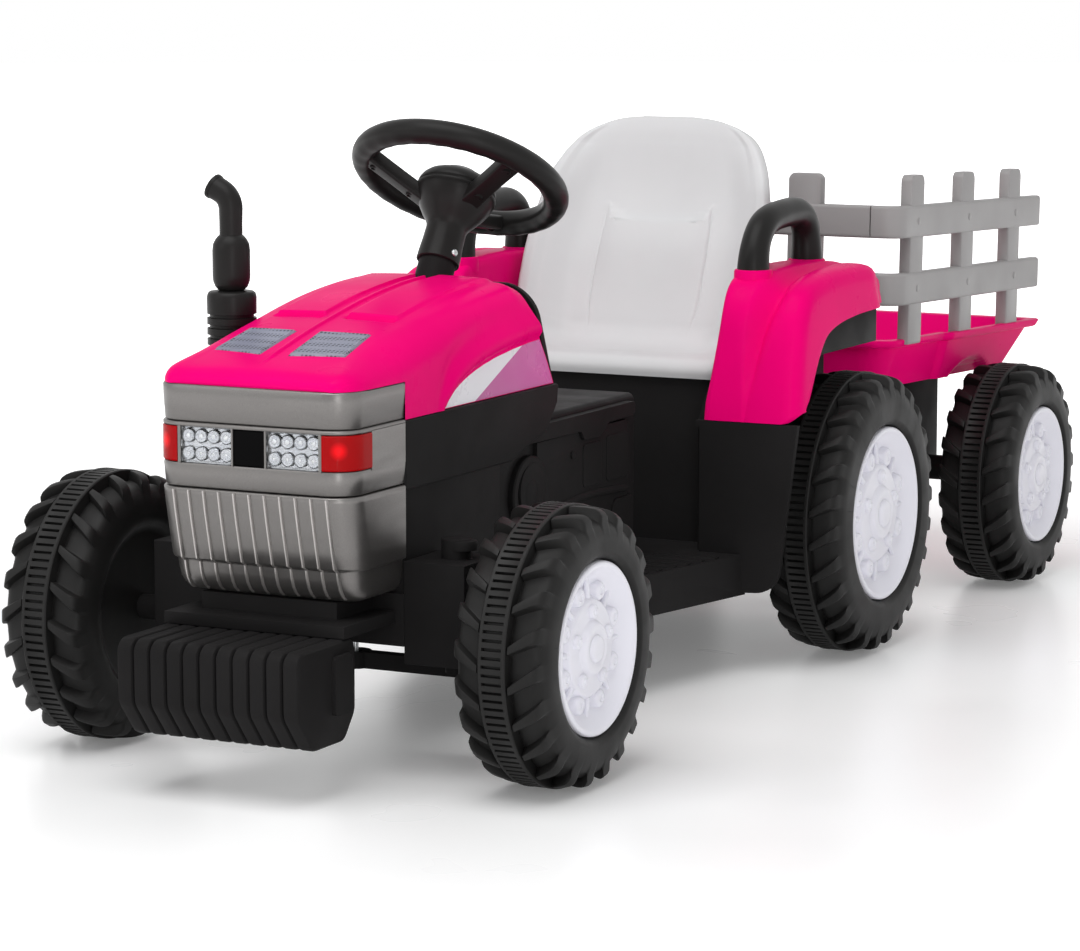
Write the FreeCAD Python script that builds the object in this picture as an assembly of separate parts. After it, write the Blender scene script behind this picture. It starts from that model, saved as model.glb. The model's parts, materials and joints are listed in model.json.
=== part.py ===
"""Battery ride-on toy tractor with a hitched trailer, every piece a solid of its own."""
import FreeCAD
import Part
import math
import os

# The frame: millimetres, +Z up, the front towards -Y, the driver's left towards +X.
# The origin lies on the ground, under the middle of the whole length.

# Fits and cuts
overrun = 3.0
running_gap = 0.05
same_point = 0.000001
clear_gap = 0.4
wall = 4.0

# Axles and wheels
front_axle_y = -500.0
rear_axle_y = 100.0
trailer_axle_y = 500.0
front_wheel_x = 196.0
rear_wheel_x = 185.0
trailer_wheel_x = 188.0
small_tyre_radius = 106.0
large_tyre_radius = 123.0
tyre_width = 74.0
axle_radius = 6.0
nut_radius = 11.0
nut_width = 6.0

# Tyre: a moulded carcass with slanted lugs and a ribbed traction band in a groove
lug_height = 8.0
lug_drop = 1.0
lug_bury = 12.0
lug_root_width = 11.0
lug_tip_width = 8.0
lug_slant = 15.0
small_lug_count = 22
large_lug_count = 26
band_width = 22.0
band_depth = 12.0
band_gap = 0.5
band_rib_height = 1.2
band_edge_width = 3.0
shoulder_width = 9.0
shoulder_depth = 7.0
inner_web_inset = 6.0
rim_depth = 20.0
rim_lip = 3.0
hub_web = 6.0
carcass_wall = 5.0
rim_radius_share = 0.62
sidewall_radius_share = 0.80
inner_dish_radius_share = 0.60

# Rim: a white dish with a raised hub, round bosses and a closed cap
rim_face_drop = 2.0
rim_edge_width = 4.0
rim_floor = 5.0
rim_hub_height = 12.0
rim_cap_height = 17.0
rim_pocket_depth = 11.0
rim_pocket_radius = 14.0
rim_boss_radius = 5.4
rim_boss_height = 5.0
rim_boss_count = 8
rim_dish_outer_share = 0.74
rim_dish_inner_share = 0.62
rim_hub_share = 0.50
rim_cap_share = 0.30
rim_boss_circle_share = 0.68

# Nose: three silver tiers stacked in front of the black engine cover
nose_half_width = 84.0
nose_front_y = -612.0
nose_corner_radius = 24.0
nose_rear_y = -526.0
nose_wall = 5.0
grille_bottom = 140.0
grille_break = 166.0
grille_step = 3.0
grille_lean = 12.0
grille_tuck = 7.0
lamp_band_bottom = 222.0
bonnet_band_bottom = 271.0
bonnet_band_top = 298.5
fin_count = 11
fin_pitch = 13.0
fin_width = 3.0
fin_proud = 1.5
fin_root = 4.0
fin_margin = 2.0

# Lamps in the middle tier
lamp_bottom = 241.0
lamp_top = 268.0
headlamp_inner_x = 15.0
headlamp_outer_x = 58.0
headlamp_depth = 12.0
corner_lamp_inner_x = 61.0
corner_lamp_end_y = -577.0
lamp_proud = 0.8

# Nose frame: the box under the engine cover, with the chin and the front axle beam
frame_half_width = 82.0
frame_rear_y = -370.0
frame_top = 217.0
frame_floor = 6.0
chin_front_y = -608.0
chin_bottom = 118.0
chin_lip_top = 127.0
chin_neck_half_width = 58.0
chin_neck_setback = 5.0
beam_front_y = -530.0
beam_rear_y = -490.0
beam_bottom = 100.0

# Engine cover: black side panels below the bonnet
cover_top = 270.0
cover_rear_y = -270.0
cover_wall = 5.0
cover_deck = 6.0
cover_window_front_y = -440.0
cover_window_rear_y = -330.0
cover_window_half_width = 50.0
cover_tail_upper_shares = (0.008, 0.72)
cover_tail_middle_shares = (0.078, 0.34)
cover_tail_lower_shares = (0.332, 0.0)

# Bonnet: cross-sections as shares of its length, height, half width and shoulder radius
bonnet_rear_y = -262.0
bonnet_height = 87.0
bonnet_shoulder_radius = 27.0
bonnet_skin = 4.0
bonnet_rear_top_y = -308.0
bonnet_rear_bottom_y = -272.0
bonnet_section_shares = [
    (0.008, 0.385, 0.82, 0.10),
    (0.017, 0.437, 0.88, 0.18),
    (0.031, 0.477, 0.932, 0.26),
    (0.051, 0.50, 0.974, 0.36),
    (0.083, 0.534, 1.0, 0.50),
    (0.15, 0.603, 1.0, 0.80),
    (0.26, 0.713, 1.0, 1.0),
    (0.35, 0.78, 1.0, 1.0),
    (0.48, 0.88, 1.0, 1.0),
    (0.60, 0.95, 1.0, 1.0),
    (0.73, 1.0, 1.0, 1.0),
    (0.87, 1.0, 1.0, 1.0),
    (1.0, 0.96, 1.0, 1.0),
]
vent_inner_x = 6.0
vent_outer_x = 64.0
vent_front_y = -577.0
vent_rear_y = -522.0
vent_lead = 8.0
vent_thickness = 1.2

# Exhaust on the driver's right
exhaust_x = -105.0
exhaust_y = -460.0
exhaust_base_radius = 19.5
exhaust_base_bottom = 236.0
exhaust_base_top = 352.0
exhaust_saddle_half_width = 14.0
muffler_radius = 14.5
muffler_top = 395.0
pipe_radius = 9.5
pipe_bore_radius = 7.0
pipe_bore_depth = 12.0
pipe_straight_top = 418.0
pipe_bend_radius = 21.0
pipe_bend_angle = 65.0
pipe_end_length = 4.0

# Front weights: a stack of plates hung under the chin
weights_half_width = 81.0
weights_front_y = -675.0
weights_rear_y = -589.0
weights_bottom = 42.0
weights_front_bottom = 80.0
weights_toe_y = -622.0
weights_heel_y = -598.0
weight_plate_count = 11
weight_plate_width = 10.5
weight_groove_depth = 5.0

# Steering column and wheel
column_lean = 31.1
steering_centre_y = -279.3
steering_centre_z = 431.9
steering_ring_radius = 79.0
steering_grip_radius = 10.5
spoke_radius = 7.2
spoke_angles = (90.0, 210.0, 330.0)
hub_radius = 33.0
hub_waist_radius = 30.0
hub_top = -13.0
hub_waist = -22.0
hub_bottom = -44.0
sleeve_radius = 16.0
sleeve_bottom = -70.0
cap_radius = 32.0
cap_base = -13.0
cap_height = 15.0
cap_crown_radius = 20.0
horn_radius = 14.0
horn_height = 15.0
horn_travel = 3.0
shaft_radius = 6.0
shaft_top = -20.0
shaft_tail = 8.0
crank_arm_radius = 5.0
crank_pin_radius = 2.5
crank_pin_height = 24.0
crank_ball_radius = 4.5
bush_radius = 15.0
bush_bottom = -128.0

# Front axle boxes, knuckles and tie rod
kingpin_x = 113.0
kingpin_radius = 6.0
axle_box_outer_x = 135.0
axle_box_rear_y = -470.0
axle_box_bottom = 87.0
axle_box_top = 165.0
axle_box_cap_top = 180.0
axle_box_cap_radius = 11.5
axle_box_cap_roof = 6.0
axle_box_plate = 12.0
axle_box_floor = 6.0
axle_box_front = 7.0
axle_box_side = 6.0
knuckle_radius = 14.0
stub_collar_radius = 10.0
arm_length = 45.0
arm_half_width = 9.0
arm_bottom = 78.0
arm_top = 86.0
arm_pin_radius = 4.0
arm_pin_gap = 0.10
arm_pin_bottom = 62.0
rod_bottom = 65.0
rod_half_width = 6.0
rod_eye_radius = 10.0
rod_slot_radius = 6.5
rod_centre_radius = 12.5

# Body tub: floor with footboards, engine block, seat box, wheel guards and arch liners
floor_top = 103.0
floor_plate = 8.0
skirt_bottom = 68.0
block_half_width = 70.0
block_rear_y = -100.0
block_top = 243.0
block_round = 6.0
board_front_half_width = 95.0
board_front_y = -330.0
board_middle_half_width = 120.0
board_middle_y = -180.0
board_rear_half_width = 149.0
guard_front_y = -50.0
guard_thickness = 6.0
guard_inner_x = 108.0
guard_top_half_width = 198.0
guard_bottom_half_width = 180.0
guard_top = 216.0
guard_foot = 72.0
guard_corner_radius = 22.0
box_front_y = -5.0
box_rear_y = 225.0
box_half_width = 108.0
box_floor = 6.0
box_top = 245.0
box_ledge_width = 16.0
box_ledge_depth = 6.0
box_ledge_rear_y = 125.0
liner_top = 272.0
liner_depth = 6.0
liner_outer_x = 176.0
liner_rear_y = 172.0
arch_lip_gap = 2.0
panel_step = 4.0
pulley_radius = 22.0
pulley_y = -300.0
pulley_z = 187.0
pulley_proud = 6.0
panel_front_share = 0.30
panel_rear_share = 0.92
panel_low_share = 0.30
panel_high_share = 0.86
tread_count = 4
tread_width = 6.0
tread_depth = 1.5
tread_pitch = 18.0
tread_margin = 12.0

# Seat: a moulded bucket, its side profile in shares of its depth and height
seat_front_y = -12.0
seat_depth = 143.0
seat_bottom = 245.0
seat_height = 218.0
seat_base_half_width = 103.0
seat_half_width = 118.0
seat_flank_bottom = 269.0
seat_flank_top = 345.0
seat_corner_radius = 70.0
seat_wing_inner_x = 84.0
seat_side_shares = [
    (0.0, 0.0),
    (0.0, 0.06),
    (0.06, 0.10),
    (0.26, 0.10),
    (0.40, 0.14),
    (0.50, 0.25),
    (0.60, 0.40),
    (0.74, 0.59),
    (0.80, 0.615),
    (0.86, 0.86),
    (0.92, 0.99),
    (0.97, 1.0),
    (1.0, 0.97),
    (0.95, 0.80),
    (0.90, 0.60),
    (0.72, 0.30),
    (0.56, 0.0),
]
seat_wing_shares = [
    (0.02, 0.0),
    (0.02, 0.10),
    (0.10, 0.15),
    (0.28, 0.19),
    (0.40, 0.30),
    (0.54, 0.52),
    (0.64, 0.74),
    (0.74, 0.90),
    (0.90, 0.96),
    (0.95, 0.80),
    (0.90, 0.60),
    (0.72, 0.30),
    (0.56, 0.0),
]

# Rear fenders over the tractor's rear wheels, outlines seen from three sides
fender_front_y = -50.0
fender_length = 228.0
fender_base = 216.0
fender_height = 125.0
fender_inner_x = 110.0
fender_width = 88.0
fender_arch_radius = 175.0
fender_skin = 6.0
fender_roof = 24.0
fender_side_shares = [
    (0.0, 0.0),
    (0.0, 0.70),
    (0.035, 0.88),
    (0.10, 1.0),
    (0.74, 1.0),
    (0.90, 0.87),
    (1.0, 0.72),
    (1.0, 0.0),
]
fender_plan_shares = [
    (0.02, 1.0),
    (0.0, 0.06),
    (0.10, 0.0),
    (0.36, 0.0),
    (0.42, 0.028),
    (0.48, 0.0),
    (0.90, 0.0),
    (1.0, 0.04),
    (0.82, 1.0),
]
fender_end_shares = [
    (0.0, 0.0),
    (0.16, 0.90),
    (0.22, 1.0),
    (0.62, 1.0),
    (0.80, 0.93),
    (0.95, 0.72),
    (1.0, 0.50),
    (1.0, 0.0),
]

# Grab handles on the fenders
handle_x = 141.0
handle_front_y = -11.0
handle_rear_y = 104.0
handle_tube_radius = 13.0
handle_front_rise = 36.0
handle_rear_rise = 44.0
handle_bend_radius = 24.0

# Power train inside the seat box
battery_length = 151.0
battery_width = 65.0
battery_height = 94.0
battery_gap = 3.0
module_half_length = 50.0
module_front_y = 160.0
module_rear_y = 213.0
module_height = 36.0
gear_module = 2.0
gear_teeth = 40
pinion_teeth = 10
gear_slack = 0.2
gear_inner_x = 114.0
gear_width = 18.0
gear_hub_radius = 15.0
pinion_angle = 45.0
pinion_shaft_radius = 2.5
pinion_shaft_inner_x = 60.0
motor_radius = 18.0
motor_inner_x = 46.0
case_outer_x = 146.0
case_wall = 3.0
case_room = 2.0
tooth_root_share = 0.54
tooth_pitch_share = 0.40
tooth_tip_share = 0.20
tooth_foot_share = 1.25

# Pedal and gear lever
pedal_hinge_y = -150.0
pedal_hinge_z = 112.0
pedal_pin_radius = 4.0
pedal_inner_x = 76.0
pedal_outer_x = 112.0
pedal_length = 76.0
pedal_thickness = 6.0
pedal_rest_angle = 20.0
pedal_lug_width = 5.0
pedal_lug_radius = 7.5
lever_y = -200.0
lever_z = 186.0
lever_pin_radius = 4.0
lever_boss_radius = 10.0
lever_boss_width = 9.0
lever_arm_radius = 3.2
lever_rise = 38.0
lever_knob_radius = 8.0

# Dashboard and its button
dash_thickness = 6.0
dash_web_half_width = 5.0
button_x = 42.0
button_radius = 10.0
button_gap = 0.3
button_height = 12.0
button_proud = 5.0
button_share = 0.50

# Trailer
hitch_y = 248.0
hitch_pin_radius = 5.0
hitch_pin_head_radius = 9.0
hitch_pin_head = 6.0
tongue_half_width = 22.0
tongue_rear_y = 264.0
tongue_bottom = 100.0
tongue_top = 112.0
drawbar_radius = 13.0
drawbar_depth = 12.0
trailer_tilt = 2.1
tray_front_y = 266.0
tray_rear_y = 670.1
tray_half_width = 160.0
tray_base_half_width = 146.0
tray_base_front_y = 282.0
tray_base_rear_y = 597.0
tray_bottom = 202.0
tray_top = 244.0
tray_wall = 4.0
tray_lip = 9.0
tray_lip_depth = 5.0
tray_corner_radius = 25.0
bed_front_y = 330.0
bed_rear_y = 540.0
bed_half_width = 100.0
bed_bottom = 92.0
bed_wall = 5.0
bed_spacer_radius = 12.0
fence_outer_x = 158.0
fence_thickness = 13.0
fence_front_y = 273.0
fence_rear_y = 655.0
fence_corner_radius = 20.0
fence_return = 28.0
fence_gap = 1.0
rail_height = 30.0
rail_lower_bottom = 277.0
rail_upper_bottom = 339.0
rail_thickness = 11.0
post_width = 33.0
post_top = 399.0
post_proud = 1.0
side_post_y = (316.0, 450.0, 586.0)
front_post_x = 46.0


def vec(x, y, z):
    return FreeCAD.Vector(x, y, z)


def box(x_range, y_range, z_range):
    """A block between two limits along each axis."""
    size = [high - low for low, high in (x_range, y_range, z_range)]
    return Part.makeBox(size[0], size[1], size[2], vec(x_range[0], y_range[0], z_range[0]))


def rod(start, end, radius):
    """A round bar from one point to another."""
    line = end - start
    return Part.makeCylinder(radius, line.Length, start, line)


def corner_wire(corners, place):
    """A closed wire through (a, b) or (a, b, radius) corners, each radius a tangent arc."""
    count = len(corners)
    arcs = []
    for index, corner in enumerate(corners):
        here = place(corner[0], corner[1])
        if len(corner) == 2:
            arcs.append((here, None, here))
            continue
        back = (place(*corners[index - 1][:2]) - here).normalize()
        ahead = (place(*corners[(index + 1) % count][:2]) - here).normalize()
        half_angle = back.getAngle(ahead) / 2
        reach = corner[2] / math.tan(half_angle)
        inward = (back + ahead).normalize()
        middle = here + inward * (corner[2] / math.sin(half_angle) - corner[2])
        arcs.append((here + back * reach, middle, here + ahead * reach))
    edges = []
    for index, (start, middle, stop) in enumerate(arcs):
        if middle is not None:
            edges.append(Part.Arc(start, middle, stop).toShape())
        following = arcs[(index + 1) % count][0]
        if not stop.isEqual(following, same_point):
            edges.append(Part.makeLine(stop, following))
    return Part.Wire(edges)


def along_x(corners, low, high):
    """A side outline in (y, z), drawn out along X."""
    wire = corner_wire(corners, lambda y, z: vec(low, y, z))
    return Part.Face(wire).extrude(vec(high - low, 0, 0))


def along_y(corners, low, high):
    """An end outline in (x, z), drawn out along Y."""
    wire = corner_wire(corners, lambda x, z: vec(x, low, z))
    return Part.Face(wire).extrude(vec(0, high - low, 0))


def along_z(corners, low, high):
    """A plan outline in (x, y), drawn out along Z."""
    wire = corner_wire(corners, lambda x, y: vec(x, y, low))
    return Part.Face(wire).extrude(vec(0, 0, high - low))


def spun_about_x(corners):
    """A ring about the X axis from a section in (x, radius)."""
    face = Part.Face(corner_wire(corners, lambda x, radius: vec(x, 0, radius)))
    return face.revolve(vec(0, 0, 0), vec(1, 0, 0), 360)


def spun_about_z(corners):
    """A ring about the Z axis from a section in (radius, z)."""
    face = Part.Face(corner_wire(corners, lambda radius, z: vec(radius, 0, z)))
    return face.revolve(vec(0, 0, 0), vec(0, 0, 1), 360)


def mirrored(shape):
    """The same piece for the other side of the tractor."""
    return shape.mirror(vec(0, 0, 0), vec(1, 0, 0))


def pair(shape):
    """A left piece and its mirrored right one, as two solids."""
    return Part.makeCompound([shape, mirrored(shape)])


def joined(shapes):
    """Several shapes melted into one piece."""
    return shapes[0].fuse(shapes[1:]).removeSplitter()


def placed(shares, start, size):
    """Outline points worked out from shares of a start and a size along both directions."""
    return [(start[0] + a * size[0], start[1] + b * size[1]) for a, b in shares]


def on_column(shape):
    """Puts a shape drawn about the Z axis onto the leaning steering column."""
    leaned = shape.copy()
    leaned.rotate(vec(0, 0, 0), vec(1, 0, 0), -column_lean)
    leaned.translate(vec(0, steering_centre_y, steering_centre_z))
    return leaned


def tipped(shape):
    """Leans a piece of the trailer nose up about the trailer's axle."""
    leaned = shape.copy()
    leaned.rotate(vec(0, trailer_axle_y, small_tyre_radius), vec(1, 0, 0), -trailer_tilt)
    return leaned


def save(name, shape):
    shape.exportStep("parts/" + name + ".step")


# Wheels, drawn about the X axis with the outer face towards +X

def tyre(radius, lug_count):
    """The black carcass with its groove, its rim recess and its slanted lugs."""
    half = tyre_width / 2
    carcass = radius - lug_drop - lug_height
    groove = radius - band_depth
    groove_half = band_width / 2 + band_gap
    sidewall = radius * sidewall_radius_share
    rim = radius * rim_radius_share
    dish = radius * inner_dish_radius_share
    bore = axle_radius + running_gap
    section = [
        (-half + inner_web_inset, bore),
        (-half + inner_web_inset, dish),
        (-half, dish + rim_lip),
        (-half, sidewall),
        (-half + shoulder_width, carcass),
        (-groove_half, carcass),
        (-groove_half, groove),
        (groove_half, groove),
        (groove_half, carcass),
        (half - shoulder_width, carcass),
        (half, sidewall),
        (half, rim + rim_lip),
        (half - rim_lip, rim),
        (half - rim_depth, rim),
        (half - rim_depth, bore),
    ]
    envelope = [
        (groove_half, radius - lug_bury),
        (groove_half, radius - lug_drop),
        (half - shoulder_width, radius - lug_drop),
        (half, radius - lug_drop - shoulder_depth),
        (half, sidewall),
        (half - shoulder_width, radius - lug_bury - shoulder_depth),
    ]
    lug = along_z(
        [
            (groove_half - overrun, -lug_root_width / 2),
            (half + overrun, lug_slant - lug_tip_width / 2),
            (half + overrun, lug_slant + lug_tip_width / 2),
            (groove_half - overrun, lug_root_width / 2),
        ],
        radius * sidewall_radius_share,
        radius + overrun,
    )
    lug = lug.common(spun_about_x(envelope))
    other_lug = mirrored(lug)
    pitch = 360.0 / lug_count
    lugs = []
    for index in range(lug_count):
        outer = lug.copy()
        outer.rotate(vec(0, 0, 0), vec(1, 0, 0), index * pitch)
        inner = other_lug.copy()
        inner.rotate(vec(0, 0, 0), vec(1, 0, 0), (index + 0.5) * pitch)
        lugs += [outer, inner]
    hollow_half = half - shoulder_width
    hollow = spun_about_x([
        (-half + inner_web_inset + hub_web, bore),
        (-half + inner_web_inset + hub_web, dish - carcass_wall),
        (-hollow_half + carcass_wall, dish + carcass_wall),
        (-hollow_half + carcass_wall, groove - carcass_wall),
        (hollow_half - carcass_wall, groove - carcass_wall),
        (hollow_half - carcass_wall, rim + carcass_wall),
        (half - rim_depth - hub_web, rim + carcass_wall),
        (half - rim_depth - hub_web, bore),
    ])
    return spun_about_x(section).fuse(lugs).cut(hollow)


def traction_band(radius):
    """The rubber band pressed into the tyre's groove, with raised edges."""
    half = band_width / 2
    groove = radius - band_depth
    face = radius - band_rib_height
    return spun_about_x([
        (-half, groove),
        (-half, radius),
        (-half + band_edge_width, radius),
        (-half + band_edge_width, face),
        (half - band_edge_width, face),
        (half - band_edge_width, radius),
        (half, radius),
        (half, groove),
    ])


def rim(radius):
    """The white wheel dish with bosses round its hub."""
    back = tyre_width / 2 - rim_depth
    face = tyre_width / 2 - rim_face_drop
    edge = radius * rim_radius_share - running_gap
    dish_outer = edge * rim_dish_outer_share
    dish_inner = edge * rim_dish_inner_share
    dish = spun_about_x([
        (back, rim_pocket_radius),
        (back, edge),
        (face, edge),
        (face, edge - rim_edge_width),
        (back + rim_floor, dish_outer),
        (back + rim_floor, dish_inner),
        (back + rim_hub_height, edge * rim_hub_share),
        (back + rim_hub_height, edge * rim_cap_share),
        (back + rim_cap_height, edge * rim_cap_share - rim_lip),
        (back + rim_cap_height, 0),
        (back + rim_pocket_depth, 0),
        (back + rim_pocket_depth, rim_pocket_radius),
    ])
    bosses = []
    for index in range(rim_boss_count):
        angle = 2 * math.pi * index / rim_boss_count
        circle = edge * rim_boss_circle_share
        foot = vec(back + rim_floor / 2, circle * math.cos(angle), circle * math.sin(angle))
        bosses.append(rod(foot, foot + vec(rim_floor + rim_boss_height, 0, 0), rim_boss_radius))
    return joined([dish] + bosses)


def axle_nut(x):
    """A round lock nut on an axle end, its inner face at x."""
    return rod(vec(x, 0, 0), vec(x + nut_width, 0, 0), nut_radius)


def axle_end_x(wheel_x):
    """Where an axle ends inside the pocket behind a rim."""
    return wheel_x + tyre_width / 2 - rim_depth + clear_gap + nut_width + clear_gap


def nut_x(wheel_x):
    """The inner face of the nut that keeps a wheel on."""
    return wheel_x + tyre_width / 2 - rim_depth + clear_gap


def dead_axle(wheel_x, y, z):
    """A fixed axle right across the vehicle, with a nut on each end."""
    end = axle_end_x(wheel_x)
    shapes = [rod(vec(-end, 0, 0), vec(end, 0, 0), axle_radius)]
    nut = axle_nut(nut_x(wheel_x))
    shapes += [nut, mirrored(nut)]
    axle = joined(shapes)
    axle.translate(vec(0, y, z))
    return axle


def save_wheel(name, radius, lug_count, x, y):
    """Saves the three pieces of the wheels on one axle; the right wheel is the left one turned about."""
    pieces = {"tyre": tyre(radius, lug_count), "band": traction_band(radius), "rim": rim(radius)}
    for kind, piece in pieces.items():
        turned = piece.copy()
        turned.rotate(vec(0, 0, 0), vec(0, 0, 1), 180)
        piece.translate(vec(x, y, radius))
        turned.translate(vec(-x, y, radius))
        save("left_" + name + "_" + kind, piece)
        save("right_" + name + "_" + kind, turned)


# Nose tiers

def nose_outline(inset, rear_y, setback=0):
    """The nose seen from above, drawn in by inset, its front set back, closed along rear_y."""
    half = nose_half_width - inset
    radius = nose_corner_radius - inset
    front = nose_front_y + inset + setback
    return [(-half, rear_y), (-half, front, radius), (half, front, radius), (half, rear_y)]


def nose_tier(bottom, top, inset):
    """An open-backed shell of the nose between two heights."""
    outer = along_z(nose_outline(inset, nose_rear_y), bottom, top)
    inner = along_z(nose_outline(inset + nose_wall, nose_rear_y + overrun), bottom - overrun, top + overrun)
    return outer.cut(inner)


def bonnet_band():
    """The plain silver band under the bonnet's front edge."""
    return nose_tier(bonnet_band_bottom, bonnet_band_top, 0)


def headlamp(proud):
    """One lens block of the left lamp window."""
    front = nose_front_y - proud
    return box(
        (headlamp_inner_x, headlamp_outer_x),
        (front, nose_front_y + headlamp_depth),
        (lamp_bottom, lamp_top),
    )


def corner_lamp_window():
    """The space of the left lamp that wraps round the corner."""
    return box(
        (corner_lamp_inner_x, nose_half_width + overrun),
        (nose_front_y - overrun, corner_lamp_end_y),
        (lamp_bottom, lamp_top),
    )


def corner_lamp():
    """The red lamp round the left corner, a little proud of the band."""
    outer = along_z(nose_outline(-lamp_proud, nose_rear_y), lamp_bottom, lamp_top)
    inner = along_z(nose_outline(nose_wall, nose_rear_y + overrun), lamp_bottom - overrun, lamp_top + overrun)
    return outer.cut(inner).common(corner_lamp_window())


def lamp_band():
    """The silver band with its four lamp windows."""
    band = nose_tier(lamp_band_bottom, bonnet_band_bottom, 0)
    windows = [headlamp(overrun), mirrored(headlamp(overrun))]
    windows += [corner_lamp_window(), mirrored(corner_lamp_window())]
    return band.cut(windows)


def leaning_form(low, high, inset, rear_y):
    """A block of the nose whose front runs between the (height, setback) pairs low and high."""
    wires = []
    for height, setback in (low, high):
        corners = nose_outline(inset, rear_y, setback)
        wires.append(corner_wire(corners, lambda x, y: vec(x, y, height)))
    return Part.makeLoft(wires, True, True)


def leaning_tier(low, high, inset):
    """An open-backed shell of the nose with a leaning front."""
    outer = leaning_form(low, high, inset, nose_rear_y)
    low_end = (low[0] - overrun, low[1])
    high_end = (high[0] + overrun, high[1])
    return outer.cut(leaning_form(low_end, high_end, inset + nose_wall, nose_rear_y + overrun))


def grille_fin(middle):
    """One upright fin that follows the front of both tiers of the grille."""
    break_y = nose_front_y + grille_lean
    foot_y = break_y + grille_step + grille_tuck
    top = lamp_band_bottom - fin_margin
    foot = grille_bottom + fin_margin
    side = [
        (nose_front_y - fin_proud, top),
        (break_y - fin_proud, grille_break),
        (foot_y - fin_proud, foot),
        (foot_y + fin_root, foot),
        (break_y + grille_step + fin_root, grille_break),
        (nose_front_y + fin_root, top),
    ]
    return along_x(side, middle - fin_width / 2, middle + fin_width / 2)


def radiator_grille():
    """The finned silver tier, leaning back and stepped in below its break line, with a floor."""
    upper = leaning_tier((grille_break, grille_lean), (lamp_band_bottom, 0), 0)
    foot_setback = grille_lean + grille_tuck
    lower = leaning_tier((grille_bottom, foot_setback), (grille_break + overrun, grille_lean), grille_step)
    floor_edge = nose_outline(grille_step + nose_wall / 2, nose_rear_y, foot_setback)
    floor = along_z(floor_edge, grille_bottom, grille_bottom + nose_wall)
    fins = [grille_fin((index - (fin_count - 1) / 2) * fin_pitch) for index in range(fin_count)]
    return joined([upper, lower, floor] + fins)


def nose_frame():
    """The black box under the cover, with the chin, the axle beam and the column's lower bearing."""
    half = frame_half_width
    shell = box((-half, half), (nose_rear_y, frame_rear_y), (grille_bottom, frame_top))
    room = box(
        (-half + wall, half - wall),
        (nose_rear_y + wall, frame_rear_y - wall),
        (grille_bottom + frame_floor, frame_top + overrun),
    )
    chin_half = half - nose_wall
    lip = box((-chin_half, chin_half), (chin_front_y, beam_front_y), (chin_bottom, chin_lip_top))
    neck_half = chin_neck_half_width
    neck_y = nose_front_y + grille_lean + grille_step + grille_tuck + chin_neck_setback
    neck = box((-neck_half, neck_half), (neck_y, beam_front_y), (chin_lip_top, grille_bottom))
    beam = box((-nose_half_width, nose_half_width), (beam_front_y, beam_rear_y), (beam_bottom, grille_bottom))
    middle = (grille_bottom - steering_centre_z) / math.cos(math.radians(column_lean))
    bearing = on_column(rod(vec(0, 0, middle - bush_radius), vec(0, 0, middle + bush_radius), bush_radius))
    bore = on_column(rod(vec(0, 0, 2 * middle), vec(0, 0, 0), shaft_radius + running_gap))
    bore = bore.common(box((-half, half), (beam_rear_y, frame_rear_y), (0, frame_top)))
    return joined([shell.cut(room), lip, neck, beam, bearing]).cut(bore)


def front_weights():
    """A stack of ribbed plates on a slimmer core."""
    def plates(inset):
        return [
            (weights_rear_y, chin_bottom),
            (weights_front_y + inset, chin_bottom - inset),
            (weights_front_y + inset, weights_front_bottom + inset / 2),
            (weights_toe_y, weights_bottom + inset),
            (weights_heel_y, weights_bottom + inset),
            (weights_rear_y, weights_front_bottom),
        ]
    half = weights_half_width
    flat_y = chin_front_y - clear_gap
    core = plates(weight_groove_depth)
    core.insert(1, (flat_y, chin_bottom))
    core.insert(2, (flat_y, chin_bottom - weight_groove_depth))
    shapes = [along_x(core, -half, half)]
    pitch = (2 * half - weight_plate_width) / (weight_plate_count - 1)
    for index in range(weight_plate_count):
        start = -half + index * pitch
        shapes.append(along_x(plates(0), start, start + weight_plate_width))
    return joined(shapes)


# Engine cover, bonnet and what they carry

def engine_cover():
    """Two black side panels on a deck, closed at the front by a bulkhead."""
    length = cover_rear_y - nose_rear_y
    height = cover_top - frame_top
    tail = [
        (cover_rear_y - a * length, frame_top + b * height)
        for a, b in (cover_tail_upper_shares, cover_tail_middle_shares, cover_tail_lower_shares)
    ]
    side = [(nose_rear_y, frame_top), (nose_rear_y, cover_top), (cover_rear_y, cover_top)] + tail
    half = nose_half_width
    body = along_x(side, -half, half)
    room = box(
        (-half + cover_wall, half - cover_wall),
        (nose_rear_y + cover_wall, cover_rear_y + overrun),
        (frame_top - overrun, cover_top - cover_deck),
    )
    window = box(
        (-cover_window_half_width, cover_window_half_width),
        (cover_window_front_y, cover_window_rear_y),
        (frame_top, cover_top + overrun),
    )
    return body.cut(room).cut(window)


def bonnet_form(inset):
    """The bonnet's full form, drawn in by inset on every side but the bottom."""
    wires = []
    for along, high, wide, rounding in bonnet_section_shares:
        start = nose_front_y + inset
        y = start + along * (bonnet_rear_y - start)
        top = cover_top + high * bonnet_height - inset
        half = wide * nose_half_width - inset
        radius = rounding * bonnet_shoulder_radius
        corners = [(-half, cover_top), (-half, top, radius), (half, top, radius), (half, cover_top)]
        wires.append(corner_wire(corners, lambda x, z: vec(x, y, z)))
    return Part.makeLoft(wires, True, True)


def dash_slab(depth):
    """The sloping slab behind the bonnet's rear edge, reaching depth forward of it."""
    top = cover_top + bonnet_height
    return along_x(
        [
            (bonnet_rear_bottom_y - depth, cover_top),
            (bonnet_rear_top_y - depth, top),
            (bonnet_rear_y + overrun, top + overrun),
            (bonnet_rear_y + overrun, cover_top),
        ],
        -nose_half_width - overrun,
        nose_half_width + overrun,
    )


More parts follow.
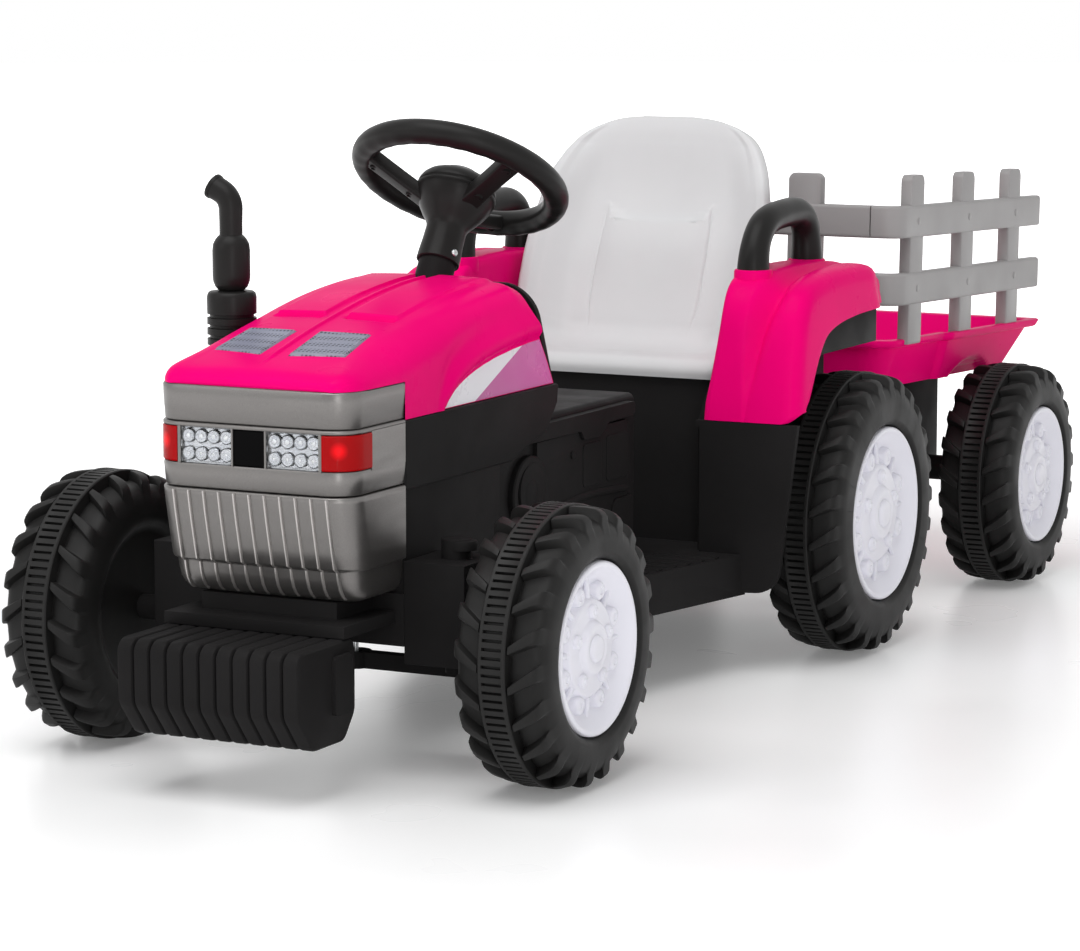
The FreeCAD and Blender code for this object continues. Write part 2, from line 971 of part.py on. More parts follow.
def column_bush(radius):
    """The tube that the steering shaft turns in, or the hole it needs."""
    return on_column(rod(vec(0, 0, bush_bottom), vec(0, 0, sleeve_bottom - clear_gap), radius))


def bonnet():
    """The pink shell, open below, with its front lip on the silver band."""
    shell = bonnet_form(0).cut(bonnet_form(bonnet_skin))
    lip = box(
        (-nose_half_width - overrun, nose_half_width + overrun),
        (nose_front_y - overrun, nose_rear_y),
        (cover_top - overrun, bonnet_band_top),
    )
    return shell.cut([lip, dash_slab(0), column_bush(bush_radius)])


def bonnet_vents():
    """Two thin mesh plates lying on the front of the bonnet."""
    skin = bonnet_form(-vent_thickness).cut(bonnet_form(0))
    outline = [
        (vent_inner_x, vent_front_y),
        (vent_outer_x, vent_front_y + vent_lead),
        (vent_outer_x, vent_rear_y),
        (vent_inner_x, vent_rear_y - vent_lead),
    ]
    return pair(skin.common(along_z(outline, bonnet_band_top, cover_top + bonnet_height)))


def dash_normal():
    """The direction out of the dashboard, towards the driver."""
    run = bonnet_rear_bottom_y - bonnet_rear_top_y
    return vec(0, bonnet_height, run).normalize()


def button_seat():
    """The middle of the dashboard's button, on its outer face."""
    y = bonnet_rear_bottom_y + button_share * (bonnet_rear_top_y - bonnet_rear_bottom_y)
    return vec(button_x, y, cover_top + button_share * bonnet_height)


def dashboard():
    """The panel facing the driver, with the tube that carries the steering column."""
    inside = bonnet_form(bonnet_skin)
    panel = inside.common(dash_slab(dash_thickness)).cut(dash_slab(0))
    web = box(
        (-dash_web_half_width, dash_web_half_width),
        (steering_centre_y + bush_bottom / 2, bonnet_rear_bottom_y),
        (cover_top + bonnet_height / 2, cover_top + bonnet_height),
    )
    web = web.common(inside).cut(dash_slab(0))
    bore = on_column(rod(vec(0, 0, 2 * bush_bottom), vec(0, 0, 0), shaft_radius + running_gap))
    hole = rod(
        button_seat() - dash_normal() * (2 * dash_thickness),
        button_seat() + dash_normal() * overrun,
        button_radius + button_gap,
    )
    return joined([panel, web, column_bush(bush_radius)]).cut([bore, hole])


def power_button():
    """The round push button in the dashboard."""
    outer = button_seat() + dash_normal() * button_proud
    return rod(outer - dash_normal() * button_height, outer, button_radius)


def exhaust_stack():
    """Base, muffler and a pipe whose end bends outwards."""
    def at(z):
        return vec(exhaust_x, exhaust_y, z)
    shapes = [
        rod(at(exhaust_base_bottom), at(exhaust_base_top), exhaust_base_radius),
        rod(at(exhaust_base_bottom), at(muffler_top), muffler_radius),
        rod(at(muffler_top - overrun), at(pipe_straight_top), pipe_radius),
    ]
    saddle = box(
        (exhaust_x, -nose_half_width),
        (exhaust_y - exhaust_saddle_half_width, exhaust_y + exhaust_saddle_half_width),
        (exhaust_base_bottom, cover_top),
    )
    ring = Part.Face(Part.Wire(Part.makeCircle(pipe_radius, at(pipe_straight_top), vec(0, 0, 1))))
    pivot = at(pipe_straight_top) - vec(pipe_bend_radius, 0, 0)
    bend = ring.revolve(pivot, vec(0, -1, 0), pipe_bend_angle)
    turn = math.radians(pipe_bend_angle)
    mouth = pivot + vec(pipe_bend_radius * math.cos(turn), 0, pipe_bend_radius * math.sin(turn))
    out = vec(-math.sin(turn), 0, math.cos(turn))
    tip = mouth + out * pipe_end_length
    shapes += [saddle, bend, rod(mouth, tip, pipe_radius)]
    return joined(shapes).cut(rod(tip - out * pipe_bore_depth, tip + out * overrun, pipe_bore_radius))


# Steering, drawn about the Z axis with the ring's middle at zero

def steering_wheel():
    """Grip ring, three spokes, hub and the sleeve over the column."""
    shapes = [Part.makeTorus(steering_ring_radius, steering_grip_radius)]
    low = (hub_bottom + hub_top) / 2
    for angle in spoke_angles:
        turn = math.radians(angle)
        inner = vec(hub_radius / 2 * math.cos(turn), hub_radius / 2 * math.sin(turn), low)
        outer = vec(steering_ring_radius * math.cos(turn), steering_ring_radius * math.sin(turn), 0)
        shapes.append(rod(inner, outer, spoke_radius))
    hub = spun_about_z([
        (0, hub_top),
        (hub_radius, hub_top),
        (hub_waist_radius, hub_waist),
        (sleeve_radius, hub_bottom),
        (sleeve_radius, sleeve_bottom),
        (0, sleeve_bottom),
    ])
    socket = rod(vec(0, 0, sleeve_bottom - overrun), vec(0, 0, shaft_top), shaft_radius)
    return on_column(joined(shapes + [hub]).cut(socket))


def steering_cap():
    """The domed ring over the hub, round the horn button."""
    bore = horn_radius + button_gap
    return on_column(spun_about_z([
        (bore, cap_base),
        (cap_radius, cap_base),
        (cap_radius, cap_base + cap_height / 3),
        (cap_crown_radius, cap_base + cap_height),
        (bore, cap_base + cap_height),
    ]))


def horn_button():
    """The round button in the middle of the steering wheel."""
    base = cap_base + horn_travel + clear_gap
    return on_column(rod(vec(0, 0, base), vec(0, 0, base + horn_height), horn_radius))


def crank_ball():
    """The middle of the crank's ball, in the frame of the leaning column."""
    turn = math.radians(column_lean)
    back = front_axle_y + arm_length - steering_centre_y
    up = rod_bottom / 2 + (arm_bottom - clear_gap) / 2 - steering_centre_z
    y = back * math.cos(turn) - up * math.sin(turn)
    z = back * math.sin(turn) + up * math.cos(turn)
    return vec(0, y, z)


def steering_shaft():
    """The steel shaft with the crank that pushes the tie rod."""
    turn = math.radians(column_lean)
    ball = crank_ball()
    knee = ball + vec(0, -math.sin(turn), math.cos(turn)) * crank_pin_height
    shapes = [
        rod(vec(0, 0, knee.z - shaft_tail), vec(0, 0, shaft_top), shaft_radius),
        rod(vec(0, 0, knee.z), knee, crank_arm_radius),
        Part.makeSphere(crank_arm_radius, knee),
        rod(ball, knee, crank_pin_radius),
        Part.makeSphere(crank_ball_radius, ball),
    ]
    return on_column(joined(shapes))


def axle_box():
    """The left bracket that holds a front knuckle between two plates."""
    x_range = (nose_half_width, axle_box_outer_x)
    y_range = (beam_front_y, axle_box_rear_y)
    pin = vec(kingpin_x, front_axle_y, 0)
    cap_bottom = vec(0, 0, axle_box_top - axle_box_plate)
    shapes = [
        box(x_range, y_range, (axle_box_top - axle_box_plate, axle_box_top)),
        box(x_range, y_range, (axle_box_bottom, axle_box_bottom + axle_box_floor)),
        box(x_range, (beam_front_y, beam_front_y + axle_box_front), (axle_box_bottom, axle_box_top)),
        box((nose_half_width, nose_half_width + axle_box_side), y_range, (axle_box_bottom, axle_box_top)),
        rod(pin + cap_bottom, pin + vec(0, 0, axle_box_cap_top), axle_box_cap_radius),
    ]
    bore_top = axle_box_cap_top - axle_box_cap_roof
    bore = rod(pin + vec(0, 0, 0), pin + vec(0, 0, bore_top), kingpin_radius + running_gap)
    return joined(shapes).cut(bore)


def knuckle():
    """The left stub axle on its kingpin, with the steering arm."""
    pin = vec(kingpin_x, front_axle_y, 0)
    middle = pin + vec(0, 0, small_tyre_radius)
    barrel_bottom = axle_box_bottom + axle_box_floor + clear_gap
    barrel_top = axle_box_top - axle_box_plate - clear_gap
    pin_top = axle_box_cap_top - axle_box_cap_roof - clear_gap
    collar_x = front_wheel_x - tyre_width / 2 + inner_web_inset - clear_gap
    end = pin + vec(0, arm_length, 0)
    stub_end = vec(axle_end_x(front_wheel_x), front_axle_y, small_tyre_radius)
    nut = axle_nut(nut_x(front_wheel_x))
    nut.translate(vec(0, front_axle_y, small_tyre_radius))
    shapes = [
        rod(pin + vec(0, 0, barrel_bottom), pin + vec(0, 0, barrel_top), knuckle_radius),
        rod(pin + vec(0, 0, arm_bottom), pin + vec(0, 0, pin_top), kingpin_radius),
        rod(middle, vec(collar_x, front_axle_y, small_tyre_radius), stub_collar_radius),
        rod(middle, stub_end, axle_radius),
        nut,
        rod(pin + vec(0, 0, arm_bottom), pin + vec(0, 0, arm_top), arm_half_width),
        rod(end + vec(0, 0, arm_bottom), end + vec(0, 0, arm_top), arm_half_width),
        box(
            (kingpin_x - arm_half_width, kingpin_x + arm_half_width),
            (front_axle_y, front_axle_y + arm_length),
            (arm_bottom, arm_top),
        ),
        rod(end + vec(0, 0, arm_pin_bottom), end + vec(0, 0, arm_bottom), arm_pin_radius),
    ]
    return joined(shapes)


def tie_rod():
    """The bar between the two steering arms, with a middle eye for the crank's ball."""
    y = front_axle_y + arm_length
    z_range = (rod_bottom, arm_bottom - clear_gap)
    shapes = [box((-kingpin_x, kingpin_x), (y - rod_half_width, y + rod_half_width), z_range)]
    holes = []
    eyes = (
        (-kingpin_x, rod_eye_radius, arm_pin_radius + arm_pin_gap),
        (0, rod_centre_radius, rod_slot_radius),
        (kingpin_x, rod_eye_radius, arm_pin_radius + arm_pin_gap),
    )
    for x, radius, hole in eyes:
        shapes.append(rod(vec(x, y, z_range[0]), vec(x, y, z_range[1]), radius))
        holes.append(rod(vec(x, y, z_range[0] - overrun), vec(x, y, z_range[1] + overrun), hole))
    return joined(shapes).cut(holes)


# Body tub

def floor_outline(inset):
    """Half of the footboards seen from above, drawn in by inset."""
    inner_x = block_half_width - wall + inset
    return [
        (inner_x, frame_rear_y + 2 * inset),
        (board_front_half_width - inset, board_front_y + inset),
        (board_middle_half_width - inset, board_middle_y),
        (board_rear_half_width - inset, guard_front_y + guard_thickness - inset),
        (box_half_width - inset, guard_front_y + guard_thickness - inset),
        (box_half_width - inset, box_front_y + wall - inset),
        (0, box_front_y + wall - inset),
        (0, block_rear_y - wall + inset),
        (inner_x, block_rear_y - wall + inset),
    ]


def footboard():
    """The left footboard: a plate on a skirt, with tread grooves."""
    board = along_z(floor_outline(0), skirt_bottom, floor_top)
    room = along_z(floor_outline(wall), skirt_bottom - overrun, floor_top - floor_plate)
    board = board.cut(room)
    grooves = []
    for index in range(tread_count):
        y = guard_front_y - tread_margin - (index + 1) * tread_pitch
        reach = board_middle_half_width - tread_margin
        grooves.append(box(
            (block_half_width + tread_margin, reach),
            (y, y + tread_width),
            (floor_top - tread_depth, floor_top + overrun),
        ))
    return board.cut(grooves)


def engine_block():
    """The hollow block between the footboards, with raised panels and a pulley on its side."""
    half = block_half_width
    y_range = (frame_rear_y, block_rear_y)
    corners = [
        (-half, skirt_bottom),
        (-half, block_top, block_round),
        (half, block_top, block_round),
        (half, skirt_bottom),
    ]
    block = along_y(corners, y_range[0], y_range[1])
    length = block_rear_y - frame_rear_y
    height = block_top - floor_top
    panel_y = (frame_rear_y + panel_front_share * length, frame_rear_y + panel_rear_share * length)
    panel_z = (floor_top + panel_low_share * height, floor_top + panel_high_share * height)
    shapes = [block, box((0, half + panel_step), panel_y, panel_z)]
    hub = vec(0, pulley_y, pulley_z)
    shapes.append(rod(hub, hub + vec(half + pulley_proud, 0, 0), pulley_radius))
    room = box(
        (-half + wall, half - wall),
        (frame_rear_y + wall, block_rear_y - wall),
        (skirt_bottom - overrun, block_top - wall),
    )
    return joined(shapes).cut(room)


def seat_box():
    """The open-topped box under the seat, with a ledge for it, a tongue and the axle's bores."""
    half = box_half_width
    y_range = (box_front_y, box_rear_y)
    shell = box((-half, half), y_range, (skirt_bottom, box_top))
    room = box(
        (-half + wall, half - wall),
        (box_front_y + wall, box_rear_y - wall),
        (skirt_bottom + box_floor, box_top - box_ledge_depth),
    )
    mouth = box(
        (-half + wall + box_ledge_width, half - wall - box_ledge_width),
        (box_front_y + wall + box_ledge_width, box_ledge_rear_y),
        (skirt_bottom + box_floor, box_top + overrun),
    )
    tongue = box(
        (-tongue_half_width, tongue_half_width),
        (box_rear_y - wall, tongue_rear_y),
        (tongue_bottom, tongue_top),
    )
    hitch_hole = rod(
        vec(0, hitch_y, tongue_bottom - overrun),
        vec(0, hitch_y, tongue_top + overrun),
        hitch_pin_radius,
    )
    return shell.cut([room, mouth]).fuse(tongue).cut(hitch_hole)


def arch_lip(front_y):
    """The upright rim of the arch liner, filling the fender's arch down to the liner."""
    x_range = (liner_outer_x - wall, liner_outer_x + wall)
    crown = large_tyre_radius + fender_arch_radius - arch_lip_gap
    disc = rod(
        vec(x_range[0], rear_axle_y, large_tyre_radius),
        vec(x_range[1], rear_axle_y, large_tyre_radius),
        fender_arch_radius - arch_lip_gap,
    )
    tail = box(x_range, (rear_axle_y, liner_rear_y), (liner_top, crown))
    band = box(x_range, (front_y, liner_rear_y), (liner_top - liner_depth, crown))
    return disc.fuse(tail).common(band)


def wheel_guard():
    """The left panel in front of the rear wheel, with the arch liner and cheek under the fender."""
    y_range = (guard_front_y, guard_front_y + guard_thickness)
    panel = along_y(
        [
            (guard_inner_x, skirt_bottom),
            (guard_bottom_half_width, guard_foot, guard_corner_radius),
            (guard_top_half_width, guard_top),
            (guard_inner_x, guard_top),
        ],
        y_range[0],
        y_range[1],
    )
    behind = y_range[1] + clear_gap
    x_range = (box_half_width - wall, liner_outer_x)
    tie_bottom = guard_top - guard_thickness
    upright = box(x_range, (behind, behind + guard_thickness), (tie_bottom, liner_top))
    tie = box(x_range, (y_range[0] + clear_gap, behind + guard_thickness), (tie_bottom, guard_top))
    liner = box(x_range, (behind, liner_rear_y), (liner_top - liner_depth, liner_top))
    cheek = box((box_half_width - wall, box_half_width), (behind, liner_rear_y), (skirt_bottom, liner_top))
    return [panel, upright, tie, liner, cheek, arch_lip(behind)]


def pinion_place():
    """The middle of the motor pinion beside the rear axle, in (y, z)."""
    reach = gear_module * (gear_teeth + pinion_teeth) / 2 + gear_slack
    turn = math.radians(pinion_angle)
    return rear_axle_y + reach * math.cos(turn), large_tyre_radius + reach * math.sin(turn)


def pedal_lugs():
    """Two ears on the right footboard that hold the pedal's pin."""
    ears = []
    for x in (-pedal_outer_x - clear_gap - pedal_lug_width, -pedal_inner_x + clear_gap):
        foot = box(
            (x, x + pedal_lug_width),
            (pedal_hinge_y - pedal_lug_radius, pedal_hinge_y + pedal_lug_radius),
            (floor_top - overrun, pedal_hinge_z),
        )
        middle = vec(x, pedal_hinge_y, pedal_hinge_z)
        eye = rod(middle, middle + vec(pedal_lug_width, 0, 0), pedal_lug_radius)
        ears += [foot, eye]
    return ears


def body_tub():
    """The black body moulding that everything else is fixed to."""
    left = [footboard()] + wheel_guard()
    shapes = left + [mirrored(shape) for shape in left]
    tub = joined([engine_block(), seat_box()] + shapes + pedal_lugs())
    reach = guard_top_half_width
    pinion_y, pinion_z = pinion_place()
    axle_middle = vec(0, rear_axle_y, large_tyre_radius)
    bores = [
        rod(axle_middle - vec(reach, 0, 0), axle_middle + vec(reach, 0, 0), axle_radius),
        rod(vec(-reach, pinion_y, pinion_z), vec(reach, pinion_y, pinion_z), pinion_shaft_radius + clear_gap),
        rod(
            vec(-pedal_outer_x - overrun - pedal_lug_width, pedal_hinge_y, pedal_hinge_z),
            vec(-block_half_width - clear_gap, pedal_hinge_y, pedal_hinge_z),
            pedal_pin_radius + running_gap,
        ),
        rod(
            vec(-block_half_width - overrun, lever_y, lever_z),
            vec(-block_half_width + wall + overrun, lever_y, lever_z),
            lever_pin_radius + running_gap,
        ),
    ]
    return tub.cut(bores)


# Seat, fenders and handles

def seat():
    """The grey bucket seat: a curved shell with raised side wings."""
    start = (seat_front_y, seat_bottom)
    size = (seat_depth, seat_height)
    half = seat_half_width
    shell = along_x(placed(seat_side_shares, start, size), -half, half)
    wing = along_x(placed(seat_wing_shares, start, size), seat_wing_inner_x, half)
    top = seat_bottom + seat_height
    front = [
        (-seat_base_half_width, seat_bottom),
        (-seat_base_half_width, seat_flank_bottom),
        (-half, seat_flank_top),
        (-half, top, seat_corner_radius),
        (half, top, seat_corner_radius),
        (half, seat_flank_top),
        (seat_base_half_width, seat_flank_bottom),
        (seat_base_half_width, seat_bottom),
    ]
    outline = along_y(front, seat_front_y - overrun, seat_front_y + seat_depth + overrun)
    return joined([shell, wing, mirrored(wing)]).common(outline)


def fender():
    """The left fender: a sculpted shell, open below, cut round the wheel."""
    rear = fender_front_y + fender_length
    outer_x = fender_inner_x + fender_width
    top = fender_base + fender_height
    side = placed(fender_side_shares, (fender_front_y, fender_base), (fender_length, fender_height))
    plan = placed(fender_plan_shares, (fender_inner_x, fender_front_y), (fender_width, fender_length))
    end = placed(fender_end_shares, (fender_inner_x, fender_base), (fender_width, fender_height))
    form = along_x(side, fender_inner_x - overrun, outer_x + overrun)
    form = form.common(along_z(plan, fender_base - overrun, top + overrun))
    form = form.common(along_y(end, fender_front_y - overrun, rear + overrun))
    inner_x = fender_inner_x + fender_width * fender_end_shares[1][0] + fender_skin
    room = box(
        (inner_x, liner_outer_x),
        (fender_front_y + guard_thickness, rear - fender_skin),
        (fender_base - overrun, top - fender_roof),
    )
    below = box(
        (fender_inner_x - overrun, outer_x + overrun),
        (fender_front_y + guard_thickness, rear + overrun),
        (fender_base - overrun, liner_top),
    )
    arch = rod(
        vec(inner_x, rear_axle_y, large_tyre_radius),
        vec(outer_x + overrun, rear_axle_y, large_tyre_radius),
        fender_arch_radius,
    )
    arch_tail = box(
        (inner_x, outer_x + overrun),
        (rear_axle_y, rear + overrun),
        (fender_base - overrun, large_tyre_radius + fender_arch_radius),
    )
    front_only = box(
        (inner_x, outer_x + overrun),
        (fender_front_y + guard_thickness, rear + overrun),
        (fender_base - overrun, top + overrun),
    )
    opening = arch.fuse(arch_tail).common(front_only)
    return form.cut([room, below, opening])


def grab_handle():
    """The left handle: a bent tube standing on the fender."""
    base = fender_base + fender_height
    start = vec(handle_x, handle_front_y, base)
    path = corner_wire(
        [
            (handle_front_y, base),
            (handle_front_y, base + handle_front_rise, handle_bend_radius),
            (handle_rear_y, base + handle_rear_rise, handle_bend_radius),
            (handle_rear_y, base),
        ],
        lambda y, z: vec(handle_x, y, z),
    )
    upper = [edge for edge in path.Edges if edge.BoundBox.ZMax > base + clear_gap]
    ring = Part.Wire(Part.makeCircle(handle_tube_radius, start, vec(0, 0, 1)))
    return Part.Wire(Part.__sortEdges__(upper)).makePipeShell([ring], True, False)


# Power train

def battery():
    """The battery block at the front of the seat box."""
    front = box_front_y + wall + battery_gap
    floor = skirt_bottom + box_floor
    block = box(
        (-battery_length / 2, battery_length / 2),
        (front, front + battery_width),
        (floor, floor + battery_height),
    )
    terminal = box(
        (battery_length / 4, battery_length / 4 + nut_radius),
        (front + nut_radius, front + 2 * nut_radius),
        (floor + battery_height, floor + battery_height + nut_width),
    )
    return joined([block, terminal, mirrored(terminal)])


def control_module():
    """The receiver and speed control box behind the axle."""
    floor = skirt_bottom + box_floor
    return box(
        (-module_half_length, module_half_length),
        (module_front_y, module_rear_y),
        (floor, floor + module_height),
    )


def gear_outline(teeth, turn):
    """A gear's outline in (y, z) about its own middle, its first tooth at the angle turn."""
    pitch_radius = gear_module * teeth / 2
    pitch_angle = 2 * math.pi / teeth
    root = pitch_radius - gear_module * tooth_foot_share
    tip = pitch_radius + gear_module
    points = []
    for index in range(teeth):
        middle = turn + index * pitch_angle
        for radius, side in (
            (root, -tooth_root_share),
            (pitch_radius, -tooth_pitch_share),
            (tip, -tooth_tip_share),
            (tip, tooth_tip_share),
            (pitch_radius, tooth_pitch_share),
            (root, tooth_root_share),
        ):
            angle = middle + side * pitch_angle / 2
            points.append((radius * math.cos(angle), radius * math.sin(angle)))
    return points


def drive_gear():
    """The left final gear on the rear axle, its hub meeting the wheel."""
    middle = vec(0, rear_axle_y, large_tyre_radius)
    outline = gear_outline(gear_teeth, math.radians(pinion_angle))
    blank = along_x(outline, gear_inner_x, gear_inner_x + gear_width)
    blank.translate(middle)
    hub_end = rear_wheel_x - tyre_width / 2 + inner_web_inset
    hub = rod(middle + vec(gear_inner_x, 0, 0), middle + vec(hub_end, 0, 0), gear_hub_radius)
    bore = rod(middle, middle + vec(hub_end + overrun, 0, 0), axle_radius + running_gap)
    return joined([blank, hub]).cut(bore)


def motor_pinion():
    """The left motor's pinion and shaft, a tooth gap facing the drive gear."""
    y, z = pinion_place()
    first_tooth = math.radians(pinion_angle) + math.pi + math.pi / pinion_teeth
    blank = along_x(gear_outline(pinion_teeth, first_tooth), gear_inner_x, gear_inner_x + gear_width)
    blank.translate(vec(0, y, z))
    shaft = rod(vec(pinion_shaft_inner_x, y, z), vec(gear_inner_x + gear_width, y, z), pinion_shaft_radius)
    return joined([blank, shaft])


def drive_motor():
    """The left motor can inside the seat box."""
    y, z = pinion_place()
    can = rod(vec(motor_inner_x, y, z), vec(box_half_width - wall, y, z), motor_radius)
    bore_end = pinion_shaft_inner_x - clear_gap
    return can.cut(rod(vec(bore_end, y, z), vec(box_half_width, y, z), pinion_shaft_radius + running_gap))


def gearbox_case():
    """The left gear case: a cup against the seat box, with a hole for the drive hub."""
    y, z = pinion_place()

    def lobes(room, low, high):
        gear_room = gear_module * (gear_teeth / 2 + 1) + room
        pinion_room = gear_module * (pinion_teeth / 2 + 1) + room
        middle = vec(low, rear_axle_y, large_tyre_radius)
        length = vec(high - low, 0, 0)
        return joined([
            rod(middle, middle + length, gear_room),
            rod(vec(low, y, z), vec(high, y, z), pinion_room),
        ])
    outer = lobes(case_room + case_wall, box_half_width, case_outer_x)
    inner = lobes(case_room, box_half_width - overrun, case_outer_x - case_wall)
    hole = rod(
        vec(box_half_width, rear_axle_y, large_tyre_radius),
        vec(case_outer_x + overrun, rear_axle_y, large_tyre_radius),
        gear_hub_radius + clear_gap,
    )
    return outer.cut([inner, hole])


def pedal():
    """The foot pedal on its hinge pin, drawn at its rest angle."""
    turn = math.radians(pedal_rest_angle)
    heel = (pedal_hinge_y, pedal_hinge_z)
    ahead = (-math.cos(turn), math.sin(turn))
    under = (-math.sin(turn), -math.cos(turn))
    half = pedal_thickness / 2

    def corner(along, down):
        return (
            heel[0] + along * ahead[0] + down * under[0],
            heel[1] + along * ahead[1] + down * under[1],
        )
    plate = along_x(
        [corner(0, -half), corner(pedal_length, -half), corner(pedal_length, half), corner(0, half)],
        -pedal_outer_x,
        -pedal_inner_x,
    )
    pin = rod(
        vec(-pedal_outer_x - clear_gap - pedal_lug_width, pedal_hinge_y, pedal_hinge_z),
        vec(-pedal_inner_x + clear_gap + pedal_lug_width, pedal_hinge_y, pedal_hinge_z),
        pedal_pin_radius,
    )
    return joined([plate, pin])


def gear_lever():
    """The forward and reverse lever on the right of the engine block."""
    def at(x, z):
        return vec(x, lever_y, z)
    inner_x = -block_half_width - clear_gap
    outer_x = inner_x - lever_boss_width
    arm_x = (inner_x + outer_x) / 2
    knob_x = arm_x - lever_knob_radius / 2
    knob_z = lever_z + lever_rise
    half_knob = lever_knob_radius
    shapes = [
        rod(at(outer_x, lever_z), at(-block_half_width + wall, lever_z), lever_pin_radius),
        rod(at(outer_x, lever_z), at(inner_x, lever_z), lever_boss_radius),
        rod(at(arm_x, lever_z), at(arm_x, knob_z), lever_arm_radius),
        rod(at(knob_x, knob_z - half_knob), at(knob_x, knob_z + half_knob), lever_knob_radius),
    ]
    return joined(shapes)


# Trailer

def hitch_pin():
    """The pin that holds the drawbar on the tractor's tongue."""
    top = tongue_top + clear_gap + drawbar_depth + clear_gap
    middle = vec(0, hitch_y, 0)
    return joined([
        rod(middle + vec(0, 0, tongue_bottom), middle + vec(0, 0, top), hitch_pin_radius),
        rod(middle + vec(0, 0, top), middle + vec(0, 0, top + hitch_pin_head), hitch_pin_head_radius),
    ])


def tray_form(inset, bottom, top):
    """The tray's tapered form, drawn in by inset, between two heights."""
    wires = []
    for z in (bottom, top):
        rise = (z - tray_bottom) / (tray_top - tray_bottom)
        half = tray_base_half_width + rise * (tray_half_width - tray_lip - tray_base_half_width) - inset
        front = tray_base_front_y + rise * (tray_front_y + tray_lip - tray_base_front_y) + inset
        rear = tray_base_rear_y + rise * (tray_rear_y - tray_lip - tray_base_rear_y) - inset
        radius = tray_corner_radius - inset
        corners = [(-half, front, radius), (half, front, radius), (half, rear, radius), (-half, rear, radius)]
        wires.append(corner_wire(corners, lambda x, y: vec(x, y, z)))
    return Part.makeLoft(wires, True, True)


def trailer_tray():
    """The pink tray with sloping walls and a flat lip."""
    body = tray_form(0, tray_bottom, tray_top)
    radius = tray_corner_radius + tray_lip
    half = tray_half_width
    lip = along_z(
        [
            (-half, tray_front_y, radius),
            (half, tray_front_y, radius),
            (half, tray_rear_y, radius),
            (-half, tray_rear_y, radius),
        ],
        tray_top - tray_lip_depth,
        tray_top,
    )
    room = tray_form(tray_wall, tray_bottom + tray_wall, tray_top + overrun)
    return tipped(joined([body, lip]).cut(room))


def trailer_frame():
    """The black bed under the tray, with its axle spacers and the drawbar."""
    half = bed_half_width
    high = tray_top
    shell = box((-half, half), (bed_front_y, bed_rear_y), (bed_bottom, high))
    room = box(
        (-half + bed_wall, half - bed_wall),
        (bed_front_y + bed_wall, bed_rear_y - bed_wall),
        (bed_bottom + bed_wall, high + overrun),
    )
    spacer_end = trailer_wheel_x - tyre_width / 2 + inner_web_inset - clear_gap
    middle = vec(0, trailer_axle_y, small_tyre_radius)
    spacer = rod(middle + vec(half - bed_wall, 0, 0), middle + vec(spacer_end, 0, 0), bed_spacer_radius)
    bar_z = (tongue_top + clear_gap, tongue_top + clear_gap + drawbar_depth)
    hitch = vec(0, hitch_y, bar_z[0])
    eye = rod(hitch, hitch + vec(0, 0, drawbar_depth), drawbar_radius)
    bar = box((-drawbar_radius, drawbar_radius), (hitch_y, bed_front_y + bed_wall), bar_z)
    above = tipped(box(
        (-tray_half_width, tray_half_width),
        (tray_front_y, tray_rear_y),
        (tray_bottom, tray_top + tray_half_width),
    ))
    hitch_end = hitch + vec(0, 0, drawbar_depth + overrun)
    holes = [
        above,
        rod(middle - vec(spacer_end, 0, 0), middle + vec(spacer_end, 0, 0), axle_radius),
        rod(hitch - vec(0, 0, overrun), hitch_end, hitch_pin_radius + running_gap),
    ]
    return joined([shell.cut(room), spacer, mirrored(spacer), eye, bar]).cut(holes)


def fence_rail(bottom, inner, outer, front):
    """One left rail, bent round the front corner."""
    reach = fence_return
    corner = fence_corner_radius
    thick = outer - inner
    wire = [
        (outer, fence_rear_y),
        (outer, front, corner),
        (outer - reach, front),
        (outer - reach, front + thick),
        (inner, front + thick, corner - thick),
        (inner, fence_rear_y),
    ]
    return along_z(wire, bottom, bottom + rail_height)


def side_fence():
    """The left fence: three posts on the tray's lip and two rails."""
    outer = fence_outer_x
    inner = fence_outer_x - fence_thickness
    rail_inner = inner + post_proud
    shapes = [
        fence_rail(bottom, rail_inner, rail_inner + rail_thickness, fence_front_y)
        for bottom in (rail_lower_bottom, rail_upper_bottom)
    ]
    for y in side_post_y:
        shapes.append(box((inner, outer), (y - post_width / 2, y + post_width / 2), (tray_top, post_top)))
    return tipped(joined(shapes))


def front_fence():
    """The fence panel across the front of the tray."""
    half = fence_outer_x - fence_thickness + post_proud + rail_thickness - fence_return - fence_gap
    y_range = (fence_front_y, fence_front_y + rail_thickness)
    shapes = [
        box((-half, half), y_range, (bottom, bottom + rail_height))
        for bottom in (rail_lower_bottom, rail_upper_bottom)
    ]
    post_y = (fence_front_y - post_proud, fence_front_y + fence_thickness - post_proud)
    post = box((front_post_x, front_post_x + post_width), post_y, (tray_top, post_top))
    return tipped(joined(shapes + [post, mirrored(post)]))


